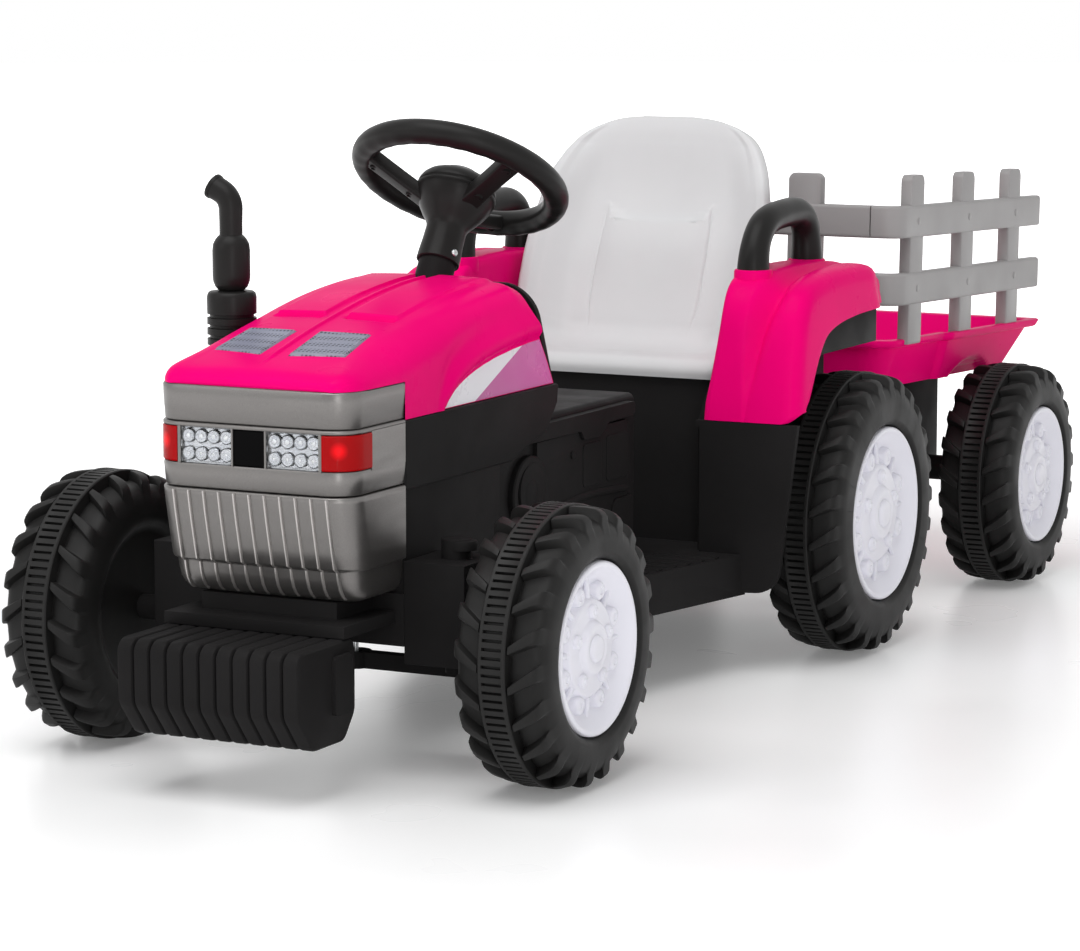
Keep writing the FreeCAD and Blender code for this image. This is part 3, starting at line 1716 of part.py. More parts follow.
def build():
    """Saves every piece under its own name."""
    os.makedirs("parts", exist_ok=True)
    save_wheel("front", small_tyre_radius, small_lug_count, front_wheel_x, front_axle_y)
    save_wheel("rear", large_tyre_radius, large_lug_count, rear_wheel_x, rear_axle_y)
    save_wheel("trailer", small_tyre_radius, small_lug_count, trailer_wheel_x, trailer_axle_y)
    singles = {
        "body_tub": body_tub,
        "nose_frame": nose_frame,
        "engine_cover": engine_cover,
        "bonnet": bonnet,
        "dashboard": dashboard,
        "bonnet_band": bonnet_band,
        "lamp_band": lamp_band,
        "radiator_grille": radiator_grille,
        "bonnet_vents": bonnet_vents,
        "exhaust_stack": exhaust_stack,
        "front_weights": front_weights,
        "seat": seat,
        "battery": battery,
        "control_module": control_module,
        "hitch_pin": hitch_pin,
        "steering_wheel": steering_wheel,
        "steering_cap": steering_cap,
        "horn_button": horn_button,
        "steering_shaft": steering_shaft,
        "power_button": power_button,
        "tie_rod": tie_rod,
        "pedal": pedal,
        "gear_lever": gear_lever,
        "trailer_tray": trailer_tray,
        "trailer_frame": trailer_frame,
        "front_fence": front_fence,
    }
    for name, make in singles.items():
        save(name, make())
    pairs = {
        "headlamps": headlamp(lamp_proud),
        "corner_lamps": corner_lamp(),
        "axle_boxes": axle_box(),
        "fenders": fender(),
        "grab_handles": grab_handle(),
        "gearbox_cases": gearbox_case(),
        "drive_motors": drive_motor(),
        "side_fences": side_fence(),
    }
    for name, piece in pairs.items():
        save(name, pair(piece))
    sided = {"knuckle": knuckle(), "drive_gear": drive_gear(), "motor_pinion": motor_pinion()}
    for name, piece in sided.items():
        save("left_" + name, piece)
        save("right_" + name, mirrored(piece))
    save("rear_axle", dead_axle(rear_wheel_x, rear_axle_y, large_tyre_radius))
    save("trailer_axle", dead_axle(trailer_wheel_x, trailer_axle_y, small_tyre_radius))


build()
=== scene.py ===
"""Dresses the ride-on toy tractor and its trailer: mouldings, tread, lamps, finishes and the studio."""
import json
import math
import bmesh
import bpy
from bpy.props import FloatProperty, FloatVectorProperty, IntProperty, PointerProperty
from mathutils import Matrix, Vector


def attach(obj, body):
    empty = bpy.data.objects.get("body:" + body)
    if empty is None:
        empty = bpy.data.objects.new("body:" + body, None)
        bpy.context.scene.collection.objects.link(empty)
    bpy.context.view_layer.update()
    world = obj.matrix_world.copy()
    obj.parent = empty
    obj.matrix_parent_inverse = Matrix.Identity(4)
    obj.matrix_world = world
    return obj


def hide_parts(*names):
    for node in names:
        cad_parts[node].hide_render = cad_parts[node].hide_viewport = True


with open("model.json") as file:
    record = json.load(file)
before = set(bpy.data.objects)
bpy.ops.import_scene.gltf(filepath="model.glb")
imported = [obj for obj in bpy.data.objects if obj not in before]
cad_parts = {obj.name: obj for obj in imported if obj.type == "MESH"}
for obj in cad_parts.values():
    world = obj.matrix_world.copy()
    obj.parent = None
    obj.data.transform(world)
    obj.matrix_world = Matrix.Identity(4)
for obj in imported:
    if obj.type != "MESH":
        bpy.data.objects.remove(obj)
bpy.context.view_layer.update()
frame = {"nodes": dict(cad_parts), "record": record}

bl_info = {
    "name": "Toy Tractor Dresser",
    "version": (1, 0, 0),
    "blender": (4, 5, 0),
    "location": "View3D > Sidebar > Tractor",
    "description": "Builds the mouldings, wheels, lamps and finishes of a ride-on toy tractor with a trailer",
    "category": "Object",
}

# Shapes are drawn in millimetres, in the frame of the tractor, and turned into metres when a piece is made.
METRE = 1000.0

# The least radius of a turned profile, in millimetres.
NARROWEST = 0.01
# Points and edges closer than these, in metres, are melted.
DOUBLED = 0.000002
SLIVER = 0.000001
SOLID_DOUBLED = 0.00001
# Edges below the flat angle are dissolved in a node's own solid, and those above the hard angle are rounded.
FLAT_ANGLE = math.radians(1.5)
HARD_ANGLE = math.radians(35.0)
ROUNDING_STEPS = 3
RELIEF_EDGE = 0.0012


COLOUR = {"subtype": "COLOR", "size": 3, "min": 0, "max": 1}


class TractorColours(bpy.types.PropertyGroup):
    """The colours a user would change."""
    pink: FloatVectorProperty(
        name="Pink", description="Bonnet, fenders and tray", default=(0.84, 0.0012, 0.165), **COLOUR)
    silver: FloatVectorProperty(
        name="Silver", description="Painted nose tiers", default=(0.170, 0.162, 0.157), **COLOUR)
    black: FloatVectorProperty(
        name="Black", description="Body mouldings", default=(0.0155, 0.0148, 0.0150), **COLOUR)
    grip: FloatVectorProperty(
        name="Grip", description="Steering wheel, handles and exhaust",
        default=(0.011, 0.0105, 0.0102), **COLOUR)
    tyre: FloatVectorProperty(
        name="Tyre", description="Moulded tyres and their bands", default=(0.0095, 0.0092, 0.009), **COLOUR)
    rim: FloatVectorProperty(
        name="Rim", description="Wheel dishes", default=(0.82, 0.815, 0.88), **COLOUR)
    seat: FloatVectorProperty(
        name="Seat", description="Bucket seat", default=(0.63, 0.63, 0.64), **COLOUR)
    fence: FloatVectorProperty(
        name="Fence", description="Trailer fences", default=(0.31, 0.30, 0.30), **COLOUR)
    sticker_light: FloatVectorProperty(
        name="Sticker light", description="Pale front of the side sticker",
        default=(0.74, 0.74, 0.78), **COLOUR)
    sticker_dark: FloatVectorProperty(
        name="Sticker dark", description="Purple field of the side sticker",
        default=(0.46, 0.045, 0.27), **COLOUR)
    lamp: FloatVectorProperty(
        name="Red lamp", description="Corner lamps", default=(0.55, 0.002, 0.004), **COLOUR)


class TractorSizes(bpy.types.PropertyGroup):
    """The sizes a user would change."""
    edge: FloatProperty(
        name="Edge", description="Rounding of moulded edges", unit="LENGTH",
        default=0.0018, min=0.0002, max=0.004)
    lug_height: FloatProperty(
        name="Lug height", description="How far the tyre lugs stand out", unit="LENGTH",
        default=0.008, min=0.002, max=0.008)
    band_ribs: IntProperty(
        name="Band ribs", description="Cross ribs on a front traction band", default=104, min=40, max=160)
    band_depth: FloatProperty(
        name="Band slots", description="Depth of the slots between the ribs", unit="LENGTH",
        default=0.0032, min=0.0005, max=0.005)
    rim_bosses: IntProperty(
        name="Rim bosses", description="Round bosses on each wheel dish", default=8, min=4, max=12)
    grille_fins: IntProperty(
        name="Grille fins", description="Fins on the radiator grille", default=11, min=5, max=15)
    lamp_columns: IntProperty(
        name="Lamp columns", description="Reflectors across each headlamp", default=4, min=2, max=6)


class TractorStage(bpy.types.PropertyGroup):
    """The studio: camera and lights."""
    camera_place: FloatVectorProperty(
        name="Camera", description="Where the camera stands", subtype="TRANSLATION", unit="LENGTH", size=3,
        default=(1.43585, -2.99425, 0.63737))
    azimuth: FloatProperty(
        name="Azimuth", description="Turn of the view about the upright", subtype="ANGLE",
        default=math.radians(26.679))
    elevation: FloatProperty(
        name="Elevation", description="Downward tilt of the view", subtype="ANGLE",
        default=math.radians(8.267))
    lens: FloatProperty(
        name="Lens", description="Focal length in millimetres", default=127.6, min=20, max=300)
    key_power: FloatProperty(
        name="Key", description="Power of the large top light", unit="POWER", default=68.0)
    fill_power: FloatProperty(
        name="Fill", description="Power of the side lights", unit="POWER", default=13.0)
    sky: FloatProperty(name="Sky", description="Strength of the even surrounding light", default=0.40)


# Drawing tools

def smooth_step(low, high, value):
    """Zero below low, one above high, with a soft rise between."""
    share = min(1.0, max(0.0, (value - low) / (high - low)))
    return share * share * (3.0 - 2.0 * share)


def eased(share):
    """Weights of a soft curve's start, first slope, end and last slope at a share of the way."""
    square = share * share
    cube = square * share
    return 2 * cube - 3 * square + 1, cube - 2 * square + share, 3 * square - 2 * cube, cube - square


def curve_at(points, along):
    """The height at along of a soft curve through given (along, height) points."""
    if along <= points[0][0]:
        return points[0][1]
    if along >= points[-1][0]:
        return points[-1][1]
    index = 0
    while points[index + 1][0] < along:
        index += 1
    before = points[max(index - 1, 0)]
    start = points[index]
    stop = points[index + 1]
    after = points[min(index + 2, len(points) - 1)]
    span = stop[0] - start[0]
    slope_in = (stop[1] - before[1]) / (stop[0] - before[0])
    slope_out = (after[1] - start[1]) / (after[0] - start[0])
    first, leaving, last, arriving = eased((along - start[0]) / span)
    return first * start[1] + leaving * span * slope_in + last * stop[1] + arriving * span * slope_out


def spread(low, high, count):
    """Evenly spaced values from low to high, both included."""
    return [low + (high - low) * index / (count - 1) for index in range(count)]


def arc(centre, radius, start, stop, count):
    """Points of an arc in a plane, its angles in degrees."""
    angles = [math.radians(angle) for angle in spread(start, stop, count)]
    return [(centre[0] + radius * math.cos(angle), centre[1] + radius * math.sin(angle)) for angle in angles]


def turns(steps):
    """The angles of a full turn in equal steps."""
    return [2 * math.pi * step / steps for step in range(steps)]


def round_axle(x, radius, angle):
    """A point about the X axis."""
    return (x, radius * math.cos(angle), radius * math.sin(angle))


def rounded(corners, radius, count=5):
    """A closed outline with every corner rounded."""
    outline = []
    total = len(corners)
    for index in range(total):
        here = Vector(corners[index])
        back = Vector(corners[index - 1]) - here
        ahead = Vector(corners[(index + 1) % total]) - here
        reach = min(radius, back.length * 0.45, ahead.length * 0.45)
        start = here + back.normalized() * reach
        stop = here + ahead.normalized() * reach
        for share in spread(0.0, 1.0, count):
            first = start.lerp(here, share)
            second = here.lerp(stop, share)
            outline.append(tuple(first.lerp(second, share)))
    return outline


def heading(path, index):
    """The direction that a path takes at one of its points."""
    return (path[min(index + 1, len(path) - 1)] - path[max(index - 1, 0)]).normalized()


def facing_of(line, index):
    """The direction that a line in a plane faces at one of its points, on its left hand."""
    ahead = heading(line, index)
    return Vector((-ahead.y, ahead.x))


def soft_line(points, step):
    """A soft curve through points of a plane, sampled about every step."""
    line = [Vector(point) for point in points]
    dense = []
    for index in range(len(line) - 1):
        start = line[index]
        stop = line[index + 1]
        slope_in = (stop - line[max(index - 1, 0)]) * 0.5
        slope_out = (line[min(index + 2, len(line) - 1)] - start) * 0.5
        steps = max(3, int((stop - start).length / step))
        for count in range(steps):
            first, leaving, last, arriving = eased(count / steps)
            dense.append(start * first + slope_in * leaving + stop * last + slope_out * arriving)
    dense.append(line[-1])
    return dense


def plate_faces(thick, edges):
    """Depths and insets through a plate from face to face; edges gives those of one rolled edge."""
    near = [(-thick / 2 + depth, inset) for depth, inset in edges]
    return near + [(-depth, inset) for depth, inset in reversed(near)]


class Shell:
    """Points in millimetres and faces, gathered for one piece."""

    def __init__(self):
        self.points = []
        self.faces = []

    def add(self, points, faces):
        start = len(self.points)
        self.points.extend(Vector(point) for point in points)
        self.faces.extend([start + index for index in face] for face in faces)

    def grid(self, rows, ring=False, loop=False):
        """Joins rows of points; ring closes each row, loop joins the last row to the first."""
        wide = len(rows[0])
        tall = len(rows)
        points = [point for row in rows for point in row]
        faces = []
        for row in range(tall if loop else tall - 1):
            above = (row + 1) % tall
            for column in range(wide if ring else wide - 1):
                beside = (column + 1) % wide
                here, over = row * wide, above * wide
                faces.append((here + column, here + beside, over + beside, over + column))
        self.add(points, faces)

    def tube(self, rows):
        """Ring rows with a flat cap at each end."""
        self.grid(rows, ring=True)
        wide = len(rows[0])
        self.add(rows[0], [range(wide)])
        self.add(rows[-1], [range(wide)])

    def prism(self, outline, low, high, place):
        """An outline drawn out between two distances; place(a, b, distance) gives a point."""
        self.tube([[place(a, b, distance) for a, b in outline] for distance in (low, high)])

    def block(self, low, high):
        """A plain box between two corners, its edges left to the piece's rounding."""
        outline = [(low[0], low[1]), (high[0], low[1]), (high[0], high[1]), (low[0], high[1])]
        self.prism(outline, low[2], high[2], lambda x, y, z: (x, y, z))

    def lathe(self, profile, steps, place):
        """An (along, radius) profile turned about an axis; place(along, radius, angle) gives a point."""
        self.tube([
            [place(along, max(radius, NARROWEST), angle) for angle in turns(steps)]
            for along, radius in profile
        ])

    def pipe(self, path, radius, steps, side=Vector((1, 0, 0))):
        """A round bar along a path; radius may be a list, and the path never runs along side."""
        rows = []
        for index, spot in enumerate(path):
            ahead = heading(path, index)
            across = (side - ahead * side.dot(ahead)).normalized()
            up = ahead.cross(across)
            size = radius[index] if isinstance(radius, list) else radius
            rows.append([
                spot + across * (size * math.cos(angle)) + up * (size * math.sin(angle))
                for angle in turns(steps)
            ])
        self.tube(rows)

    def swept(self, rows):
        """Lines along a path, joined round it and capped at the path's two ends."""
        self.tube([list(column) for column in zip(*rows)])

    def slab(self, rows, change):
        """A thin sheet: rows of its face, the same passed through change for its back, and its edges."""
        back = [[change(*point) for point in row] for row in rows]
        self.grid(rows)
        self.grid(back)
        for end in (0, -1):
            self.grid([rows[end], back[end]])
        for end in (0, -1):
            self.grid([[row[end] for row in rows], [row[end] for row in back]])

    def join(self, other):
        """Takes in another shell."""
        self.add(other.points, other.faces)

    def moved(self, change):
        """The same shell with every point passed through change."""
        other = Shell()
        other.points = [Vector(change(point)) for point in self.points]
        other.faces = [list(face) for face in self.faces]
        return other

    def with_mirror(self):
        """The shell and its twin on the other side of the tractor."""
        other = Shell()
        other.join(self)
        other.add([(-point.x, point.y, point.z) for point in self.points], self.faces)
        return other


def about_x(centre):
    """Places turned profiles about a line along X."""
    def place(along, radius, angle):
        x, y, z = round_axle(along, radius, angle)
        return (centre[0] + x, centre[1] + y, centre[2] + z)
    return place


def about_line(base, direction):
    """Places turned profiles about any line."""
    ahead = Vector(direction).normalized()
    side = ahead.orthogonal().normalized()
    other = ahead.cross(side)
    start = Vector(base)

    def place(along, radius, angle):
        across = side * (radius * math.cos(angle))
        return start + ahead * along + across + other * (radius * math.sin(angle))
    return place


def finish_mesh(mesh):
    """Melts doubled points and turns every face outwards."""
    shape = bmesh.new()
    shape.from_mesh(mesh)
    bmesh.ops.remove_doubles(shape, verts=shape.verts, dist=DOUBLED)
    bmesh.ops.dissolve_degenerate(shape, edges=shape.edges, dist=SLIVER)
    bmesh.ops.recalc_face_normals(shape, faces=shape.faces)
    shape.to_mesh(mesh)
    shape.free()


def add_rounding(piece, width):
    """Rounds a piece's hard edges."""
    rounding = piece.modifiers.new("moulded edges", "BEVEL")
    rounding.width = width
    rounding.segments = ROUNDING_STEPS
    rounding.limit_method = "ANGLE"
    rounding.angle_limit = HARD_ANGLE
    rounding.harden_normals = True
    rounding.use_clamp_overlap = True


def settle(piece, finish, body, nodes):
    """Gives a piece its finish, its body and the nodes that it stands for."""
    piece.data.materials.clear()
    piece.data.materials.append(finish_of(finish))
    bpy.context.scene.collection.objects.link(piece)
    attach(piece, body)
    if nodes:
        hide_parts(*nodes)


def make_piece(name, shell, finish, nodes=(), body="chassis", edge=0.0, smooth=38.0):
    """Makes one piece from a shell drawn in millimetres."""
    mesh = bpy.data.meshes.new(name)
    mesh.from_pydata([point / METRE for point in shell.points], [], shell.faces)
    finish_mesh(mesh)
    piece = bpy.data.objects.new(name, mesh)
    mesh.shade_smooth()
    if edge:
        add_rounding(piece, edge)
    else:
        mesh.set_sharp_from_angle(angle=math.radians(smooth))
    settle(piece, finish, body, nodes)


def body_of(node):
    """The body that a node belongs to."""
    for body, members in frame["record"]["behaviour"]["bodies"].items():
        if node in members:
            return body
    raise ValueError("no body holds " + node)


def round_over(node, finish, edge, change=None):
    """A copy of a node's own solid with rounded edges, standing for it; change moves its points."""
    mesh = frame["nodes"][node].data.copy()
    shape = bmesh.new()
    shape.from_mesh(mesh)
    bmesh.ops.remove_doubles(shape, verts=shape.verts, dist=SOLID_DOUBLED)
    bmesh.ops.dissolve_limit(shape, angle_limit=FLAT_ANGLE, verts=shape.verts, edges=shape.edges)
    bmesh.ops.recalc_face_normals(shape, faces=shape.faces)
    if change:
        for corner in shape.verts:
            corner.co = change(corner.co * METRE) / METRE
    shape.to_mesh(mesh)
    shape.free()
    piece = bpy.data.objects.new(node + "_moulding", mesh)
    mesh.name = piece.name
    mesh.shade_smooth()
    add_rounding(piece, edge)
    settle(piece, finish, body_of(node), (node,))


def dress_node(node, finish):
    """Keeps a node's own solid and gives it a finish."""
    mesh = frame["nodes"][node].data
    mesh.materials.clear()
    mesh.materials.append(finish_of(finish))
    mesh.shade_smooth()
    mesh.set_sharp_from_angle(angle=HARD_ANGLE)


# Finishes

# Where the painted highlights on the red lenses are centred, and (y, z) of two points on the line between the
# side sticker's tones.
LENS_HIGHLIGHT_SPOTS = ((74.0, -608.0, 256.0), (-74.0, -608.0, 256.0))
STICKER_SPLIT = ((-413.0, 269.0), (-317.0, 311.0))


class Finish:
    """Wires one material's nodes."""

    def __init__(self, name):
        self.material = bpy.data.materials.new(name)
        self.material.use_nodes = True
        self.nodes = self.material.node_tree.nodes
        self.links = self.material.node_tree.links
        self.shader = self.nodes["Principled BSDF"]
        self.place = self.nodes.new("ShaderNodeTexCoord").outputs["Object"]

    def node(self, kind, **inputs):
        made = self.nodes.new(kind)
        for socket, value in inputs.items():
            made.inputs[socket].default_value = value
        return made

    def noise(self, scale, detail=3.0, stretch=None):
        """Noise of a number of cells to the metre, stretched along an axis if asked."""
        made = self.node("ShaderNodeTexNoise", Scale=scale, Detail=detail)
        source = self.place
        if stretch:
            mapping = self.node("ShaderNodeMapping", Scale=stretch)
            self.links.new(source, mapping.inputs["Vector"])
            source = mapping.outputs["Vector"]
        self.links.new(source, made.inputs["Vector"])
        return made.outputs["Fac"]

    def feed(self, socket, source):
        """Links a source to a socket, or sets a colour or a plain value there."""
        if hasattr(source, "is_linked"):
            self.links.new(source, socket)
        else:
            socket.default_value = (*source, 1.0) if isinstance(source, tuple) else source

    def ranged(self, source, low, high, from_low=0.3, from_high=0.7):
        """A value mapped evenly from one range to another."""
        ends = {"From Min": from_low, "From Max": from_high, "To Min": low, "To Max": high}
        made = self.node("ShaderNodeMapRange", **ends)
        self.links.new(source, made.inputs["Value"])
        return made.outputs["Result"]

    def mixed(self, share, first, second):
        """A colour between two others."""
        made = self.nodes.new("ShaderNodeMix")
        made.data_type = "RGBA"
        self.links.new(share, made.inputs["Factor"])
        self.feed(made.inputs[6], first)
        self.feed(made.inputs[7], second)
        return made.outputs[2]

    def blotched(self, source, colour, low, high):
        """A colour that wanders between a darker and a lighter version of itself."""
        return self.mixed(self.ranged(source, 0.0, 1.0), shade(colour, low), shade(colour, high))

    def worked(self, kind, operation, *sources):
        """What a node of a kind works out from sockets and plain values."""
        made = self.nodes.new(kind)
        made.operation = operation
        for socket, source in zip(made.inputs, sources):
            self.feed(socket, source)
        return made.outputs["Value"]

    def colour(self, source):
        self.links.new(source, self.shader.inputs["Base Color"])

    def roughness(self, source):
        self.links.new(source, self.shader.inputs["Roughness"])

    def bump(self, source, strength, depth):
        """Fine relief, its depth in metres."""
        made = self.node("ShaderNodeBump", Strength=strength, Distance=depth)
        self.links.new(source, made.inputs["Height"])
        self.links.new(made.outputs["Normal"], self.shader.inputs["Normal"])

    def set(self, **values):
        for socket, value in values.items():
            self.shader.inputs[socket.replace("_", " ")].default_value = value


def shade(colour, factor):
    """A lighter or darker version of a colour."""
    return tuple(min(1.0, channel * factor) for channel in colour)


def moulded(name, colour, rough, grain=900.0, depth=0.00008, mottle=0.10, coat=0.0, shine=0.22):
    """Moulded plastic: soft mottling, uneven gloss and a fine grain."""
    finish = Finish(name)
    finish.colour(finish.blotched(finish.noise(9.0, 4.0), colour, 1.0 - mottle, 1.0 + mottle))
    finish.roughness(finish.ranged(finish.noise(30.0, 5.0), rough * 0.86, min(1.0, rough * 1.14)))
    finish.bump(finish.noise(grain, 2.0), 0.5, depth)
    finish.set(Specular_IOR_Level=shine)
    if coat:
        finish.set(Coat_Weight=coat, Coat_Roughness=0.08)
    return finish.material


def painted_silver(name, colour):
    """Satin silver paint with fine flakes, drawn slightly along the band."""
    finish = Finish(name)
    flakes = finish.noise(2600.0, 1.0)
    finish.colour(finish.blotched(flakes, colour, 0.86, 1.16))
    finish.roughness(finish.ranged(finish.noise(24.0, 4.0, (1.0, 1.0, 6.0)), 0.30, 0.40))
    finish.bump(flakes, 0.25, 0.00003)
    finish.set(Metallic=0.82)
    return finish.material


def bare_metal(name, colour, rough):
    """Plated or turned metal with faint drawing marks."""
    finish = Finish(name)
    marks = finish.noise(420.0, 3.0, (0.05, 1.0, 1.0))
    finish.colour(finish.blotched(marks, colour, 0.86, 1.1))
    finish.roughness(finish.ranged(marks, rough * 0.8, rough * 1.25))
    finish.bump(marks, 0.2, 0.00003)
    finish.set(Metallic=1.0)
    return finish.material


def mesh_grille(name, colour):
    """Perforated mesh: small dark holes in a pale web."""
    finish = Finish(name)
    cells = finish.node("ShaderNodeTexVoronoi", Scale=310.0, Randomness=0.0)
    finish.links.new(finish.place, cells.inputs["Vector"])
    holes = finish.ranged(cells.outputs["Distance"], 0.0, 1.0, 0.25, 0.42)
    web = finish.blotched(finish.noise(12.0), colour, 0.9, 1.12)
    finish.colour(finish.mixed(holes, shade(colour, 0.28), web))
    finish.roughness(finish.ranged(holes, 0.7, 0.4, 0.0, 1.0))
    finish.bump(holes, 0.8, 0.0006)
    return finish.material


def lamp_glass(name, colour, highlight_at):
    """A coloured lens with painted highlights: lighter round two spots on its face."""
    finish = Finish(name)
    reaches = [
        finish.worked("ShaderNodeVectorMath", "DISTANCE", finish.place, Vector(spot) / METRE)
        for spot in highlight_at
    ]
    nearest = finish.worked("ShaderNodeMath", "MINIMUM", *reaches)
    # Painted highlight: the lens colour is lighter within a few millimetres of each spot and fades out by 7.5
    # mm.
    near = finish.ranged(nearest, 1.0, 0.0, 0.001, 0.0075)
    highlight_colour = (min(1.0, colour[0] * 1.8), colour[1] * 3.0, colour[2] * 3.0)
    finish.colour(finish.mixed(near, shade(colour, 0.62), highlight_colour))
    finish.roughness(finish.ranged(finish.noise(200.0), 0.06, 0.12))
    ribs = finish.noise(500.0, 0.0, (1.0, 1.0, 0.05))
    finish.bump(ribs, 0.3, 0.0002)
    finish.set(Coat_Weight=0.04, Coat_Roughness=0.05, Specular_IOR_Level=0.04)
    return finish.material


def clear_plastic(name):
    """Clear lens plastic, very slightly uneven."""
    finish = Finish(name)
    wave = finish.noise(160.0, 2.0)
    finish.colour(finish.mixed(finish.ranged(wave, 0.0, 1.0), (0.92, 0.93, 0.95), (1.0, 1.0, 1.0)))
    finish.roughness(finish.ranged(wave, 0.02, 0.06))
    finish.bump(wave, 0.15, 0.0002)
    finish.set(Transmission_Weight=1.0, IOR=1.2)
    return finish.material


def sticker_film(name, light, dark):
    """A two-tone film: pale in front of a slanting line, purple behind it."""
    finish = Finish(name)
    split = finish.nodes.new("ShaderNodeSeparateXYZ")
    finish.links.new(finish.place, split.inputs["Vector"])
    (low_y, low_z), (high_y, high_z) = STICKER_SPLIT
    lean = (high_y - low_y) / (high_z - low_z)
    foot = (lean * low_z - low_y) / METRE
    rise = finish.worked("ShaderNodeMath", "MULTIPLY_ADD", split.outputs["Z"], -lean, foot)
    past = finish.worked("ShaderNodeMath", "ADD", split.outputs["Y"], rise)
    behind = finish.ranged(past, 0.0, 1.0, -0.0004, 0.0004)
    fade = finish.ranged(split.outputs["Y"], 0.0, 1.0, -0.43, -0.28)
    field = finish.mixed(fade, shade(dark, 0.82), shade(dark, 1.18))
    pale = finish.blotched(finish.noise(20.0), light, 0.95, 1.0)
    finish.colour(finish.mixed(behind, pale, field))
    finish.roughness(finish.ranged(finish.noise(40.0), 0.25, 0.33))
    return finish.material


def floor_finish(name):
    """A pale, faintly glossy studio floor that fades into the white beyond it."""
    finish = Finish(name)
    reach = finish.worked("ShaderNodeVectorMath", "LENGTH", finish.place)
    far = finish.ranged(reach, 0.14, 1.0, 0.7, 2.4)
    cloud = finish.ranged(finish.noise(2.0), 0.0, 1.0)
    patch = finish.mixed(cloud, (0.97, 0.97, 0.975), (0.99, 0.99, 0.99))
    finish.colour(finish.mixed(far, patch, (1.0, 1.0, 1.0)))
    finish.roughness(finish.ranged(finish.noise(5.0), 0.26, 0.34))
    finish.links.new(far, finish.shader.inputs["Emission Strength"])
    finish.set(Emission_Color=(1.0, 1.0, 1.0, 1.0), Specular_IOR_Level=0.35)
    return finish.material


def make_finishes(colours):
    """Every finish that the operators use, by name."""
    def tint(socket):
        return tuple(getattr(colours, socket))
    # After its colour, a moulding has its roughness, grain, grain depth, mottle, coat and shine.
    recipes = {
        "pink_gloss": (moulded, tint("pink"), 0.30, 700.0, 0.00003, 0.05, 0.008, 0.010),
        "silver_paint": (painted_silver, tint("silver")),
        # The fins take the tiers' silver made 2.7 times lighter, a painted highlight for light caught along
        # their edges.
        "silver_fin": (painted_silver, shade(tint("silver"), 2.7)),
        "reflector": (bare_metal, (0.36, 0.37, 0.385), 0.20),
        "black_body": (moulded, tint("black"), 0.46, 1100.0, 0.00010, 0.16, 0.0, 0.025),
        "black_screen": (moulded, (0.0035, 0.0034, 0.0036), 0.50, 900.0, 0.00005, 0.14, 0.0, 0.02),
        "black_satin": (moulded, tint("grip"), 0.36, 900.0, 0.00006, 0.14, 0.0, 0.13),
        "black_tyre": (moulded, tint("tyre"), 0.50, 800.0, 0.00008, 0.18, 0.0, 0.18),
        "rubber_band": (moulded, tint("tyre"), 0.56, 1500.0, 0.00010, 0.14),
        "white_rim": (moulded, tint("rim"), 0.34, 600.0, 0.00004, 0.03, 0.2),
        "grey_seat": (moulded, tint("seat"), 0.40, 1300.0, 0.00006, 0.03),
        "grey_fence": (moulded, tint("fence"), 0.42, 1100.0, 0.00006, 0.04),
        "grey_button": (moulded, (0.25, 0.25, 0.26), 0.4, 900.0, 0.00005, 0.06),
        "battery_case": (moulded, (0.035, 0.04, 0.05), 0.5, 700.0, 0.0001, 0.12),
        "zinc_steel": (bare_metal, (0.56, 0.57, 0.58), 0.36),
        "white_gear": (moulded, (0.72, 0.71, 0.67), 0.38, 800.0, 0.00005, 0.05),
        "brass_pinion": (bare_metal, (0.72, 0.50, 0.20), 0.3),
        "grey_mesh": (mesh_grille, (0.20, 0.21, 0.28)),
        "clear_lens": (clear_plastic,),
        # The red lens carries painted highlight spots.
        "red_lens": (lamp_glass, tint("lamp"), LENS_HIGHLIGHT_SPOTS),
        "lamp_bulb": (moulded, (0.86, 0.87, 0.88), 0.12, 900.0, 0.00003, 0.04, 0.6),
        "side_sticker": (sticker_film, tint("sticker_light"), tint("sticker_dark")),
        "studio_floor": (floor_finish,),
    }
    return {name: recipe(name, *values) for name, (recipe, *values) in recipes.items()}


FINISHES = {}


def finish_of(name):
    """One of the finishes, all of them made on first use."""
    if not FINISHES:
        FINISHES.update(make_finishes(bpy.context.scene.tractor_colours))
    return FINISHES[name]


# Wheels

# Each axle: its name, how far out and along its left hub is, its wheels' radius and their lugs.
AXLES = (
    ("front", 196.0, -500.0, 106.0, 22),
    ("rear", 185.0, 100.0, 123.0, 26),
    ("trailer", 188.0, 500.0, 106.0, 22),
)
FRONT_RADIUS = AXLES[0][3]
HALF_WIDTH = 37.0
RIM_SHARE = 0.62
BAND_HALF = 11.0
BAND_LIP = 3.0
LUG_SLANT = 15.0
LUG_END = 34.4
LUG_BROAD = 0.62
TYRE_BORE = 6.6
LUG_PHASES = (
    (0.0, 0.0), (0.30, 0.0), (0.36, 0.06), (0.395, 0.80), (0.42, 0.97), (0.46, 1.0), (0.66, 1.0),
    (0.70, 0.97), (0.725, 0.80), (0.76, 0.06), (0.82, 0.0),
)
LUG_MIDDLE = 0.56
# Shares of a rib's pitch round the band, and whether the rib is up there.
RIB_PHASES = ((0.0, True), (0.62, True), (0.68, False), (0.94, False))
